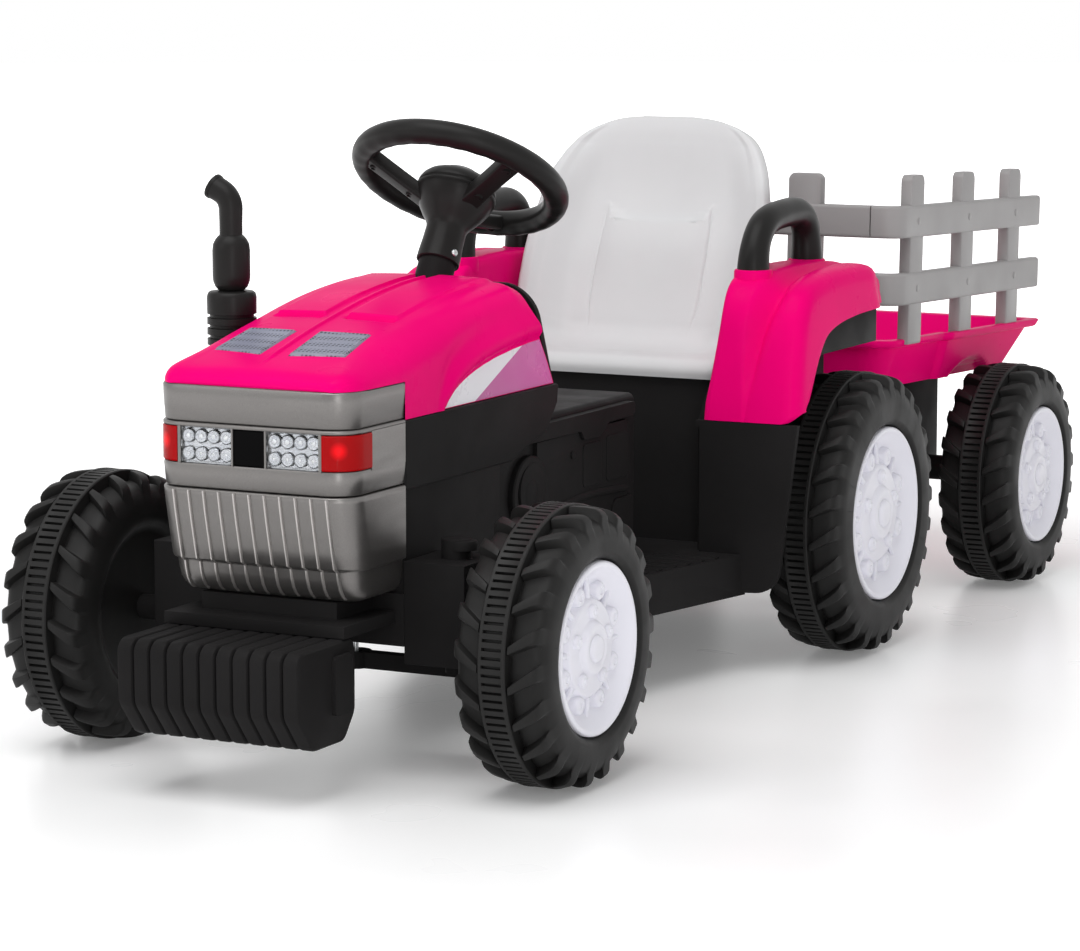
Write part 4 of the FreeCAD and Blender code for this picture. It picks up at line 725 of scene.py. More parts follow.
# The radius of the rim whose dish was drawn, then places on it: bosses, nuts and the ribs between the bosses.
RIM_DRAWN = 65.7
BOSS_RING = 43.6
BOSS_SIZE = 7.4
NUT_RING = 27.6
NUT_COUNT = 5
NUT_START = 0.3
RIB_RINGS = (52.0, 37.0)
DISH_PROFILE = (
    (22.3, 42.0), (22.6, 40.6), (24.0, 38.8), (27.6, 36.6), (28.8, 35.4), (29.2, 33.8), (29.2, 22.0),
    (29.6, 20.8), (32.6, 19.4), (33.7, 18.2), (34.0, 16.6), (34.0, 12.4), (33.2, 11.4), (33.0, 10.4),
    (35.2, 9.4), (35.9, 7.4), (36.1, 4.0), (36.1, 0.0),
)
NUT_PROFILE = ((0.0, 5.6), (3.4, 5.4), (4.4, 4.4), (4.6, 2.6), (5.6, 2.2), (5.8, 0.0))


def tread_rows(radius):
    """Half a tyre's section from the band groove down its side: width, radius, share of a lug's height."""
    return [
        (BAND_HALF + 0.7, radius - 9.6, 0.0),
        (BAND_HALF + 0.9, radius - 9.3, 0.0),
        (BAND_HALF + 1.2, radius - 9.2, 0.98),
        (BAND_HALF + 2.6, radius - 9.0, 1.0),
        (17.0, radius - 9.2, 1.0),
        (22.0, radius - 9.6, 1.0),
        (26.5, radius - 10.3, 1.0),
        (29.5, radius - 11.2, 1.0),
        (32.0, radius - 12.8, 0.98),
        (33.8, radius - 15.0, 0.90),
        (LUG_END, radius - 16.2, 0.28),
        (35.6, radius - 18.8, 0.10),
        (36.6, radius - 22.5, 0.0),
        (HALF_WIDTH, radius - 27.0, 0.0),
        (HALF_WIDTH, radius * RIM_SHARE + 7.0, 0.0),
    ]


def seat_rows_of_tyre(radius, outer):
    """The rest of a tyre's section: the rim seat outside, a plain web inside, both down to the axle hole."""
    rim = radius * RIM_SHARE
    if outer:
        turns = ((36.7, 4.6), (35.6, 3.4), (34.4, 1.8), (32.0, 0.6), (23.0, 0.5), (16.7, 0.5))
    else:
        turns = ((36.6, 3.6), (35.4, 0.6), (33.2, -2.0), (31.4, -4.6), (31.0, -8.0))
    rows = [(wide, rim + drop, 0.0) for wide, drop in turns]
    rows.append((rows[-1][0], TYRE_BORE, 0.0))
    return rows


def tyre_shell(radius, lugs, height):
    """A tyre about the X axis: slanted lugs that end at the shoulder, staggered between its two halves."""
    pitch = 2 * math.pi / lugs
    shell = Shell()
    rings = []
    for side in (1, -1):
        shift = 0.5 * pitch if side < 0 else 0.0
        half = []
        for wide, base, share in tread_rows(radius) + seat_rows_of_tyre(radius, side > 0):
            outward = min(1.0, max(0.0, (wide - BAND_HALF) / (LUG_END - BAND_HALF)))
            lean = LUG_SLANT / radius * outward
            broad = LUG_BROAD + LUG_BROAD * outward
            ring = []
            for lug in range(lugs):
                for phase, rise in LUG_PHASES:
                    angle = (lug + LUG_MIDDLE + (phase - LUG_MIDDLE) * broad) * pitch + shift - lean
                    ring.append(round_axle(side * wide, base + height * share * rise, angle))
            half.append(ring)
        rings.append(half)
    outer, inner = rings
    shell.grid(outer, ring=True)
    shell.grid(inner, ring=True)
    shell.grid([outer[0], inner[0]], ring=True)
    shell.grid([outer[-1], inner[-1]], ring=True)
    return shell


def band_shell(radius, ribs, depth):
    """A rubber band round the tread: two edge lips joined by fine cross ribs."""
    pitch = 2 * math.pi / ribs
    half = [
        (BAND_HALF, radius - 12.0, False), (BAND_HALF, radius - 0.8, False),
        (BAND_HALF - 0.8, radius - 0.02, False), (BAND_HALF - BAND_LIP, radius - 0.02, False),
        (BAND_HALF - BAND_LIP - 0.4, radius - 0.25, True),
    ]
    rings = []
    for along, size, slotted in [(-along, *rest) for along, *rest in half] + half[::-1]:
        ring = []
        for rib in range(ribs):
            for phase, up in RIB_PHASES:
                reach = size - (depth if slotted and not up else 0.0)
                ring.append(round_axle(along, reach, (rib + phase) * pitch))
        rings.append(ring)
    shell = Shell()
    shell.grid(rings, ring=True, loop=True)
    return shell


def rim_shell(radius, bosses):
    """A white wheel dish about the X axis, its raised hub ringed with round bosses."""
    rim = radius * RIM_SHARE
    scale = rim / RIM_DRAWN
    shell = Shell()
    flange = [
        (27.8, 0.0), (27.8, 14.0), (17.0, 14.0), (17.0, rim - 4.0), (20.0, rim - 0.4), (32.0, rim - 0.2),
        (34.6, rim - 0.6), (35.8, rim - 1.8), (36.0, rim - 3.2), (35.5, rim - 4.6), (34.0, rim - 5.8),
        (30.0, rim - 9.0), (25.5, rim - 14.0), (23.2, rim - 18.0), (22.4, rim - 20.5),
    ]
    dish = [(along, size * scale) for along, size in DISH_PROFILE]
    shell.lathe(flange + dish, 96, about_x((0.0, 0.0, 0.0)))
    size = BOSS_SIZE * scale
    boss = [
        (0.0, size + 1.6), (2.6, size + 1.4), (4.0, size + 0.2), (7.2, size - 0.3), (8.6, size - 1.2),
        (9.2, size - 2.6), (9.2, size * 0.42), (8.2, size * 0.34), (8.2, 0.0),
    ]
    for index in range(bosses):
        angle = 2 * math.pi * (index + 0.5) / bosses
        shell.lathe(boss, 24, about_x(round_axle(20.0, BOSS_RING * scale, angle)))
        angle += math.pi / bosses
        start = Vector(round_axle(24.4, RIB_RINGS[0] * scale, angle))
        stop = Vector(round_axle(25.0, RIB_RINGS[1] * scale, angle))
        shell.pipe([start, start.lerp(stop, 0.5), stop], [1.6, 2.4, 2.8], 12)
    nut = [(along, size * scale) for along, size in NUT_PROFILE]
    for angle in turns(NUT_COUNT):
        shell.lathe(nut, 18, about_x(round_axle(28.0, NUT_RING * scale, angle + NUT_START)))
    return shell


def on_hub(shell, centre, side):
    """A wheel shell moved to its hub; wheels on the right are the same part turned about."""
    def change(point):
        return (centre[0] + side * point.x, centre[1] + side * point.y, centre[2] + point.z)
    return shell.moved(change)


# Nose

NOSE_HALF = 84.0
NOSE_FRONT = -612.0
NOSE_REAR = -526.0
NOSE_SIDE = -560.0
NOSE_CORNER = 24.0
NOSE_BOW = 1.2
LAMP_START = 61.4
LAMP_END = -577.0
# Inset, setback and height round the plain tier's section, then the lamp tier's sill, brow and back wall.
NOSE_TOP = 298.7
PLAIN_SECTION = (
    (16.0, 0.0, 271.4), (2.2, 0.0, 271.4), (1.6, 0.0, 272.2), (0.4, 0.0, 290.0), (0.2, 0.0, 297.0),
    (0.9, 0.0, 298.3), (2.4, 0.0, NOSE_TOP), (16.0, 0.0, NOSE_TOP),
)
LAMP_SECTIONS = (
    ((20.0, 0.0, 222.4), (2.4, 0.0, 222.4), (1.6, 0.0, 223.2), (0.2, 0.0, 238.6), (0.8, 0.0, 240.2),
     (7.0, 0.0, 240.7), (20.0, 0.0, 240.7)),
    ((20.0, 0.0, 267.4), (7.0, 0.0, 267.4), (0.6, 0.0, 267.6), (0.0, 0.0, 268.2), (0.0, 0.0, 269.8),
     (0.8, 0.0, 270.7), (20.0, 0.0, 270.7)),
    ((8.0, 0.0, 240.0), (8.0, 0.0, 268.0), (19.0, 0.0, 268.0), (19.0, 0.0, 240.0)),
)
# Where the lamp windows' slim posts start and stop, the windows' own limits, and the height of each row of
# bulbs with their radius.
LAMP_CENTRE = 13.4
LAMP_POSTS = ((LAMP_CENTRE, 14.8), (58.6, 61.0))
LAMP_LOW, LAMP_HIGH = 15.2, 58.4
LAMP_BOTTOM, LAMP_TOP = 241.0, 267.2
LAMP_ROWS = ((247.6, 1.5), (260.6, 2.7))
BOWL_WIDEST = 13.0
FRONT_SHARES = (0.0, 0.25, 0.5, 0.75)
FIN_PITCH = 13.0
FIN_SECTION = (
    (-1.3, 0.8), (-1.0, -0.8), (-0.5, -1.7), (0.5, -1.7), (1.0, -0.8), (1.3, 0.8),
)
# Height of the grille's front and how far it has run back there.
GRILLE_FALL = (
    (220.4, 0.0), (217.0, 0.6), (207.0, 2.4), (194.0, 5.2), (180.0, 8.4), (167.4, 11.5), (166.0, 13.4),
    (164.4, 15.9), (158.0, 17.0), (151.0, 19.4), (145.6, 23.2), (142.4, 27.6),
)
# Inset, setback and height round the grille's section.
GRILLE_SECTION = (
    (20.0, 0.0, 220.8), (2.2, 0.0, 221.7), (0.7, 0.0, 221.4), (0.0, 0.0, 220.4), (0.0, 0.6, 217.0),
    (0.0, 2.4, 207.0), (0.0, 5.2, 194.0), (0.0, 8.4, 180.0), (0.0, 11.4, 167.6), (0.6, 11.7, 166.5),
    (2.2, 11.9, 166.0), (3.2, 12.1, 165.4), (3.4, 12.4, 164.0), (3.6, 13.4, 158.0), (4.4, 15.0, 151.0),
    (6.2, 17.0, 145.6), (9.6, 18.4, 142.0), (14.0, 19.0, 140.4), (20.0, 19.0, 140.4),
    (20.0, 12.0, 165.0), (20.0, 2.0, 200.0),
)


def nose_bow(x):
    """How far the nose's front has run back at a distance from its middle."""
    return NOSE_BOW * (x / NOSE_HALF) ** 2


def corner_points(inset, setback, first):
    """The nose's left corner, drawn in by inset, from an angle past its front to its side."""
    corner = max(NOSE_CORNER - inset, 3.0)
    flat = NOSE_HALF - inset - corner
    points = []
    for angle in spread(first, 90.0, 13):
        turn = math.radians(angle)
        x = flat + corner * math.sin(turn)
        y = NOSE_FRONT + inset + setback + corner * (1.0 - math.cos(turn))
        points.append((x, y + nose_bow(x) * (1.0 - angle / 90.0)))
    return points


def nose_path(inset, setback):
    """The nose outline seen from above, from the right rear round to the left rear."""
    corner = corner_points(inset, setback, 0.0)
    flat = corner[0][0]
    half = corner[-1][0]
    front = NOSE_FRONT + inset + setback
    left = [(flat * share, front + nose_bow(flat * share)) for share in FRONT_SHARES]
    left += corner + [(half, NOSE_SIDE), (half, NOSE_REAR)]
    return [(-x, y) for x, y in left[:0:-1]] + left


def swept_band(section):
    """A closed section carried round the nose."""
    shell = Shell()
    shell.swept([
        [(x, y, height) for x, y in nose_path(inset, setback)] for inset, setback, height in section
    ])
    return shell


def fin_shell(fins):
    """Thin upright fins across both tiers of the grille."""
    shell = Shell()
    for fin in range(fins):
        x = FIN_PITCH * (fin - (fins - 1) / 2)
        rows = []
        for height, fall in GRILLE_FALL:
            y = NOSE_FRONT + fall + nose_bow(x)
            rows.append([(x + across, y + out, height) for across, out in FIN_SECTION])
        shell.tube(rows)
    return shell


def lamp_band_shell():
    """The silver lamp tier: sill, brow, back wall and side walls, with slim posts between the windows."""
    shell = Shell()
    for section in LAMP_SECTIONS:
        shell.join(swept_band(section))
    ends = Shell()
    ends.block((74.0, LAMP_END, 239.0), (NOSE_HALF, NOSE_REAR, 268.6))
    for low, high in LAMP_POSTS:
        front = NOSE_FRONT + nose_bow(high)
        ends.block((low, front, 240.0), (high, front + 9.0, 268.0))
    shell.join(ends.with_mirror())
    return shell


def window(grow):
    """The corners of a lamp window, drawn out by grow across and half as much up and down."""
    low, high = LAMP_LOW - grow, LAMP_HIGH + grow
    bottom, top = LAMP_BOTTOM - grow / 2, LAMP_TOP + grow / 2
    return [(low, bottom), (high, bottom), (high, top), (low, top)]


def headlamp_shells(columns):
    """Reflector trays with their bowls, the bulbs in them, and the clear covers, on both sides."""
    tray = Shell()
    bulbs = Shell()
    cover = Shell()
    front = NOSE_FRONT + 1.6
    cell = (LAMP_HIGH - LAMP_LOW) / columns
    size = min(cell, BOWL_WIDEST) * 0.5
    bowl = [
        (0.0, size - 0.1), (-0.5, size - 0.5), (0.0, size - 0.9), (1.4, size * 0.78), (2.8, size * 0.50),
        (3.6, size * 0.30), (6.0, size * 0.3), (6.0, size - 0.1),
    ]
    for height, bulb in LAMP_ROWS:
        for column in range(columns):
            x = LAMP_LOW + cell * (column + 0.5)
            place = about_line((x, front + 1.2 + nose_bow(x), height), (0.0, 1.0, 0.0))
            tray.lathe(bowl, 24, place)
            dome = [(4.0, bulb), (1.6, bulb), (0.4, bulb * 0.8), (-0.3, bulb * 0.4), (-0.5, 0.0)]
            bulbs.lathe(dome, 16, place)
    tray.prism(window(0.6), front + 3.2, front + 5.6, lambda a, b, distance: (a, distance, b))
    outline = rounded(window(0.0), 2.2)
    rows = []
    for inset, depth in ((0.0, 1.6), (0.0, 0.5), (0.4, 0.0), (1.6, -0.2)):
        row = []
        for a, b in outline:
            x = a + (inset if a < (LAMP_LOW + LAMP_HIGH) / 2 else -inset)
            z = b + (inset if b < (LAMP_BOTTOM + LAMP_TOP) / 2 else -inset)
            row.append((x, NOSE_FRONT + 0.4 + depth + nose_bow(x), z))
        rows.append(row)
    cover.tube(rows)
    return tray.with_mirror(), bulbs.with_mirror(), cover.with_mirror()


def corner_lamp_shell():
    """Red lenses wrapped round the two nose corners."""
    rows = []
    for inset, height in ((7.6, LAMP_BOTTOM), (0.5, LAMP_BOTTOM), (-0.4, LAMP_BOTTOM + 1.0),
                          (-0.4, LAMP_TOP - 1.0), (0.5, LAMP_TOP), (7.6, LAMP_TOP)):
        corner = NOSE_CORNER - inset
        first = math.degrees(math.asin((LAMP_START - NOSE_HALF + NOSE_CORNER) / corner))
        path = corner_points(inset, 0.0, first) + [(NOSE_HALF - inset, LAMP_END)]
        rows.append([(x, y, height) for x, y in path])
    shell = Shell()
    shell.swept(rows)
    return shell.with_mirror()


# Bonnet

BONNET_TOP = (
    (-609.4, 301.0), (-609.0, 304.4), (-607.6, 306.9), (-605.0, 309.2), (-601.0, 311.6),
    (-594.0, 313.9), (-583.0, 316.8), (-560.0, 322.6), (-521.0, 332.0), (-490.0, 338.2),
    (-444.0, 346.8), (-402.0, 352.6), (-357.0, 356.4), (-318.0, 357.0), (-272.0, 353.0),
)
BONNET_HALF = (
    (-609.4, 66.5), (-609.0, 68.4), (-607.6, 71.6), (-605.0, 74.8), (-601.0, 78.2), (-594.0, 81.6),
    (-583.0, 83.4), (-560.0, 83.7), (-526.0, 83.8), (-272.0, 83.8),
)
BONNET_ROUND = (
    (-609.4, 4.0), (-605.0, 8.0), (-594.0, 14.0), (-583.0, 19.0), (-560.0, 25.0), (-500.0, 29.0),
    (-400.0, 27.0), (-272.0, 25.0),
)
PANEL_TOP = (
    (-474.0, 256.0), (-468.0, 266.0), (-456.0, 279.0), (-438.0, 290.0), (-412.0, 299.0),
    (-378.0, 306.0), (-340.0, 310.5), (-293.0, 313.0), (-268.0, 313.5),
)
# How far the bonnet's top rises to its middle, to its ridge and to the rear panels, and their groove's depth.
BONNET_CROWN = 1.6
RIDGE_RISE = 1.9
REAR_RISE = 2.4
REAR_GROOVE = 2.0
# Where the side panels start, how deep they lie, and the muscle and hollow along their edge.
PANEL_START = -480.0
PANEL_DEPTH = 3.4
MUSCLE_RISE = 2.8
HOLLOW_DEPTH = 1.8
# The bonnet's lower edge over the nose and behind it, and shares across its top where points are drawn.
BONNET_SILL = 298.8
BONNET_FOOT = 270.4
TOP_SHARES = (
    0.985, 0.96, 0.93, 0.90, 0.86, 0.75, 0.6, 0.45, 0.3, 0.22, 0.205, 0.19, 0.175, 0.155, 0.10, 0.05,
    0.042, 0.034, 0.025, 0.014, 0.0,
)
VENT_CORNERS = ((12.0, -574.0), (56.0, -566.0), (52.0, -520.0), (10.0, -523.0))
VENT_COUNT = 33
VENT_THICK = 2.4
STICKER_LOW = 271.0
STICKER_PROUD = 0.25
STICKER_THICK = 0.4
BONNET_REAR_TURN = -340.0
BONNET_REAR = (
    (269.0, -269.4), (294.0, -285.4), (319.0, -304.6), (327.0, -311.0), (338.0, -316.0),
    (346.0, -318.4), (357.5, -319.0),
)


def bonnet_top(x, y):
    """Height of the bonnet's upper face, with its ridge and raised rear panels."""
    height = curve_at(BONNET_TOP, y)
    lift = RIDGE_RISE * (1.0 - smooth_step(0.8, 2.6, abs(x))) * smooth_step(-596.0, -566.0, y)
    inside = smooth_step(9.0, 11.0, abs(x)) * (1.0 - smooth_step(51.0, 53.6, abs(x)))
    lift += REAR_RISE * inside * smooth_step(-481.5, -478.0, y)
    lift -= REAR_GROOVE * inside * smooth_step(-488.0, -484.0, y) * (1.0 - smooth_step(-482.0, -480.0, y))
    crown = BONNET_CROWN * (1.0 - min(1.0, (x / 58.0) ** 2))
    return height - BONNET_CROWN + crown + lift


def side_relief(y, height):
    """How far the bonnet's side stands out: a sunk panel, a muscle along its edge, a hollow above."""
    if y <= PANEL_START:
        return 0.0
    edge = curve_at(PANEL_TOP, y)
    sunk = smooth_step(-1.0, 3.2, edge - height)
    muscle = math.exp(-((height - edge - 7.0) / 8.0) ** 2)
    hollow = math.exp(-((height - edge - 25.0) / 9.0) ** 2)
    waves = MUSCLE_RISE * muscle - HOLLOW_DEPTH * hollow
    return -PANEL_DEPTH * sunk + waves * smooth_step(PANEL_START, -450.0, y)


def bonnet_section(y):
    """One cross-section of the bonnet from the left edge over the top to the right edge."""
    half = curve_at(BONNET_HALF, y)
    turn = curve_at(BONNET_ROUND, y)
    top = curve_at(BONNET_TOP, y) - BONNET_CROWN
    foot = BONNET_SILL if y < NOSE_REAR + 0.1 else BONNET_FOOT
    side = []
    shoulder = max(top - turn, foot + 0.2)
    for share in spread(0.0, 1.0, 25):
        height = foot + (shoulder - foot) * share
        side.append((half + side_relief(y, height), height))
    for angle in spread(0.0, 90.0, 13)[1:]:
        lean = math.radians(angle)
        height = shoulder + (top - shoulder) * math.sin(lean)
        relief = side_relief(y, height) * math.cos(lean)
        side.append((half - turn + turn * math.cos(lean) + relief, height))
    inner = half - turn
    for share in TOP_SHARES:
        x = inner * share
        side.append((x, bonnet_top(x, y)))
    left = [(x, y, z) for x, z in side]
    right = [(-x, y, z) for x, z in side[:-1]]
    return left + right[::-1]


def bonnet_stations():
    """Where along the bonnet sections are drawn: closer together at its front edge and at its creases."""
    stations = [-609.4, -609.2, -608.9, -608.4, -607.6, -606.4, -605.0, -603.2, -601.0, -598.0, -594.5]
    stations += [-590.0, -585.0]
    stations += spread(-579.0, -527.0, 18)
    stations += [-526.02, -525.9]
    stations += spread(-520.0, -490.0, 9)
    stations += spread(-488.0, -474.0, 15)
    stations += spread(-471.0, -272.0, 70)
    return stations


def slope_rear(point):
    """Leans the bonnet's rear edge back towards its foot."""
    if point[1] <= BONNET_REAR_TURN:
        return point
    limit = curve_at(BONNET_REAR, point[2])
    share = (point[1] - BONNET_REAR_TURN) / (BONNET_REAR[0][1] - BONNET_REAR_TURN)
    return (point[0], BONNET_REAR_TURN + (limit - BONNET_REAR_TURN) * share, point[2])


def bonnet_shell():
    """The pink bonnet: an open shell turned in along its rear edge and closed at its front."""
    rows = [[slope_rear(point) for point in bonnet_section(y)] for y in bonnet_stations()]
    shell = Shell()
    shell.grid(rows)
    rear = rows[-1]
    rolled = [(x * 0.975, y + 1.2, z - 0.9) for x, y, z in rear]
    inner = [(x * 0.95, y - 1.0, z - 3.4) for x, y, z in rear]
    deep = [(x * 0.95, y - 14.0, z - 3.6) for x, y, z in rear]
    shell.grid([rear, rolled, inner, deep])
    front = rows[0]
    shell.grid([front, [(x, y + 0.6, NOSE_TOP) for x, y, z in front]])
    return shell


def bonnet_surface(x, y):
    """Height of the bonnet over any point, round its shoulders too."""
    half = curve_at(BONNET_HALF, y)
    turn = curve_at(BONNET_ROUND, y)
    top = curve_at(BONNET_TOP, y) - BONNET_CROWN
    past = abs(x) - (half - turn)
    if past <= 0:
        return bonnet_top(x, y)
    shoulder = max(top - turn, BONNET_SILL + 0.2)
    return shoulder + (top - shoulder) * math.sqrt(max(0.0, 1.0 - (past / turn) ** 2))


def vent_shell():
    """Two mesh panels lying in the front of the bonnet, each with a raised border."""
    corners = [Vector(corner) for corner in VENT_CORNERS]
    rows = []
    for v in spread(0.0, 1.0, VENT_COUNT):
        start = corners[0].lerp(corners[3], v)
        stop = corners[1].lerp(corners[2], v)
        row = []
        for u in spread(0.0, 1.0, VENT_COUNT):
            spot = start.lerp(stop, u)
            edge = min(u, 1 - u, v, 1 - v)
            lift = 0.1 + 1.5 * smooth_step(0.0, 0.03, edge) - 0.9 * smooth_step(0.045, 0.075, edge)
            row.append((spot.x, spot.y, bonnet_surface(spot.x, spot.y) + lift))
        rows.append(row)
    shell = Shell()
    shell.slab(rows, lambda x, y, z: (x, y, z - VENT_THICK))
    return shell.with_mirror()


def sticker_shell():
    """Films on the sunk side panels of the bonnet."""
    rows = []
    for y in spread(-467.0, -273.4, 90):
        edge = max(curve_at(PANEL_TOP, y) - 3.6, STICKER_LOW + 0.1)
        half = curve_at(BONNET_HALF, y) - PANEL_DEPTH + STICKER_PROUD
        rows.append([slope_rear((half, y, height)) for height in spread(STICKER_LOW, edge, 16)])
    shell = Shell()
    shell.slab(rows, lambda x, y, z: (x - STICKER_THICK, y, z))
    return shell.with_mirror()


# Exhaust and weights

EXHAUST_X, EXHAUST_Y = -105.0, -460.0
EXHAUST_SLOTS = (300.0, 308.0, 316.0, 324.0, 332.0)
EXHAUST_LEAN = math.radians(62.0)
EXHAUST_BEND = 15.0
BEND_START = 416.0
MUFFLER_PROFILE = (
    (350.0, 6.0), (353.0, 9.8), (356.0, 12.6), (360.0, 14.2), (364.0, 14.7), (384.0, 14.7), (389.0, 14.1),
    (393.0, 12.0), (395.6, 9.6), (397.0, 7.0),
)
MOUTH_PROFILE = ((-2.0, 9.9), (-0.4, 10.3), (1.0, 10.2), (1.2, 9.4), (0.6, 7.6), (-5.0, 7.2), (-5.0, 0.0))


def exhaust_shell():
    """The stack on the driver's right: slotted base, muffler and a bent pipe."""
    shell = Shell()
    upright = about_line((EXHAUST_X, EXHAUST_Y, 0.0), (0.0, 0.0, 1.0))
    base = [(236.0, 13.0), (240.0, 16.0), (262.0, 18.4), (290.0, 19.0)]
    for level in EXHAUST_SLOTS:
        base += [(level, 19.3), (level + 0.5, 17.2), (level + 2.6, 17.2), (level + 3.1, 19.3)]
    base += [(348.0, 19.4), (351.0, 18.6), (352.4, 17.0), (352.8, 12.0), (353.0, 0.0)]
    shell.lathe(base, 40, upright)
    shell.lathe(MUFFLER_PROFILE, 40, upright)
    path = [Vector((EXHAUST_X, EXHAUST_Y, height)) for height in (390.0, 405.0, BEND_START)]
    for share in spread(0.1, 1.0, 9):
        turn = EXHAUST_LEAN * share
        out, up = EXHAUST_BEND * (1 - math.cos(turn)), EXHAUST_BEND * math.sin(turn)
        path.append(Vector((EXHAUST_X - out, EXHAUST_Y, BEND_START + up)))
    mouth = Vector((-math.sin(EXHAUST_LEAN), 0.0, math.cos(EXHAUST_LEAN)))
    tip = path[-1] + mouth * 8.0
    path.append(tip)
    shell.pipe(path, [9.0, 9.0, 9.3] + [9.4] * 9 + [9.6], 28, side=Vector((0, 1, 0)))
    shell.lathe(MOUTH_PROFILE, 28, about_line(tip, mouth))
    return shell


WEIGHT_COUNT = 11
WEIGHT_PITCH = 14.0
WEIGHT_THICK = 13.2
WEIGHT_EDGES = ((0.0, 2.2), (1.2, 0.4), (2.6, 0.0))
WEIGHT_MIDDLE = (-632.0, 80.0)
WEIGHT_OUTLINE = (
    (-674.6, 70.0), (-674.6, 112.0), (-668.0, 117.6), (-596.0, 117.6), (-590.0, 112.0), (-590.0, 62.0),
    (-606.0, 42.4), (-652.0, 42.4),
)
WEIGHT_BAR = ((-626.0, 64.0), (-600.0, 64.0), (-600.0, 108.0), (-626.0, 108.0))
WEIGHT_BAR_HALF = 80.0


def weights_shell():
    """Thin plates hung side by side on a bar under the chin."""
    shell = Shell()
    outline = [Vector(spot) for spot in rounded(WEIGHT_OUTLINE, 5.0, 4)]
    inward = [(Vector(WEIGHT_MIDDLE) - spot).normalized() for spot in outline]
    for index in range(WEIGHT_COUNT):
        middle = (index - WEIGHT_COUNT // 2) * WEIGHT_PITCH
        rows = []
        for depth, inset in plate_faces(WEIGHT_THICK, WEIGHT_EDGES):
            rows.append([(middle + depth, *(spot + toward * inset)) for spot, toward in zip(outline, inward)])
        shell.tube(rows)
    bar = rounded(WEIGHT_BAR, 4.0)
    shell.prism(bar, -WEIGHT_BAR_HALF, WEIGHT_BAR_HALF, lambda a, b, distance: (distance, a, b))
    return shell


# Steering wheel

COLUMN_LEAN = math.radians(31.1)
WHEEL_MIDDLE = Vector((0.0, -279.3, 431.9))
COLUMN_UP = Vector((0.0, math.sin(COLUMN_LEAN), math.cos(COLUMN_LEAN)))
WHEEL_SIDE = Vector((1.0, 0.0, 0.0))
WHEEL_TOP = COLUMN_UP.cross(WHEEL_SIDE)
GRIP_REACH = 79.0
GRIP_SIZE = 10.3
HUB_PROFILE = (
    (-76.0, 6.4), (-76.0, 16.6), (-75.2, 17.4), (-68.0, 17.2), (-58.0, 16.6), (-47.0, 16.3),
    (-44.0, 17.0), (-40.0, 19.5), (-35.0, 23.2), (-29.0, 27.2), (-23.0, 30.4), (-18.0, 32.2),
    (-14.5, 32.8), (-13.2, 32.4), (-13.0, 31.5), (-13.0, 6.4),
)
CAP_PROFILE = (
    (-12.9, 14.6), (-12.9, 31.6), (-11.6, 32.2), (-9.0, 31.8), (-5.4, 30.0), (-2.0, 26.8), (0.4, 22.6),
    (1.6, 18.6), (2.0, 15.6), (1.4, 14.6),
)
SCREW_PROFILE = ((0.0, 3.0), (1.8, 2.9), (2.4, 2.3), (2.4, 1.2), (1.8, 1.0), (1.8, 0.0))
SCREW_PLACE = (15.2, -5.6, -69.0)
HOLE_PROFILE = ((-2.0, 3.8), (0.3, 3.8), (0.6, 3.4), (0.6, 2.6), (-1.2, 2.4), (-1.2, 0.0))
THUMB_WAVES = 30
WAVE_DEPTH = 0.5
SPOKE_ANGLES = (90.0, 210.0, 330.0)
SPOKE_START = (22.0, -25.0)
SPOKE_STOP = (75.0, -1.5)
SPOKE_THICK = 6.4
SPOKE_HALF = 8.8
SPOKE_WAIST = 0.8


def on_wheel(a, b, rise):
    """A point of the steering wheel: across, up the wheel and along the column."""
    return WHEEL_MIDDLE + WHEEL_SIDE * a + WHEEL_TOP * b + COLUMN_UP * rise


def steering_wheel_shell():
    """Grip ring with thumb waves, three sloping spokes with screw holes, and a flared hub."""
    shell = Shell()
    rows = []
    for angle in turns(120):
        wave = WAVE_DEPTH * (0.5 + 0.5 * math.cos(angle * THUMB_WAVES))
        ring = []
        for lean in turns(20):
            size = GRIP_SIZE - wave * max(0.0, -math.sin(lean)) ** 2
            reach = GRIP_REACH + size * math.cos(lean)
            ring.append(on_wheel(reach * math.cos(angle), reach * math.sin(angle), size * math.sin(lean)))
        rows.append(ring)
    shell.grid(rows, ring=True, loop=True)
    for degrees in SPOKE_ANGLES:
        spoke_on(shell, math.radians(degrees))
    shell.lathe(HUB_PROFILE, 48, about_line(WHEEL_MIDDLE, COLUMN_UP))
    return shell


def steering_screw_shell():
    """The screw that clamps the hub's sleeve to the shaft."""
    shell = Shell()
    out = WHEEL_SIDE * SCREW_PLACE[0] + WHEEL_TOP * SCREW_PLACE[1]
    shell.lathe(SCREW_PROFILE, 20, about_line(on_wheel(*SCREW_PLACE), out))
    return shell


def spoke_on(shell, angle):
    """One spoke: a plain bar sloping from the hub up to the grip, with round holes under its ends."""
    cosine, sine = math.cos(angle), math.sin(angle)
    rows = []
    for share in spread(0.0, 1.0, 9):
        along = SPOKE_START[0] + (SPOKE_STOP[0] - SPOKE_START[0]) * share
        rise = SPOKE_START[1] + (SPOKE_STOP[1] - SPOKE_START[1]) * share
        half = SPOKE_HALF - SPOKE_WAIST * math.sin(math.pi * share)
        corners = [(-half, -SPOKE_THICK), (half, -SPOKE_THICK), (half, SPOKE_THICK), (-half, SPOKE_THICK)]
        rows.append([
            on_wheel(cosine * along - sine * across, sine * along + cosine * across, rise + up)
            for across, up in rounded(corners, 2.6, 4)
        ])
        if 0.2 < share < 0.3 or 0.8 < share < 0.9:
            spot = on_wheel(cosine * along, sine * along, rise - SPOKE_THICK)
            shell.lathe(HOLE_PROFILE, 20, about_line(spot, -COLUMN_UP))
    shell.tube(rows)


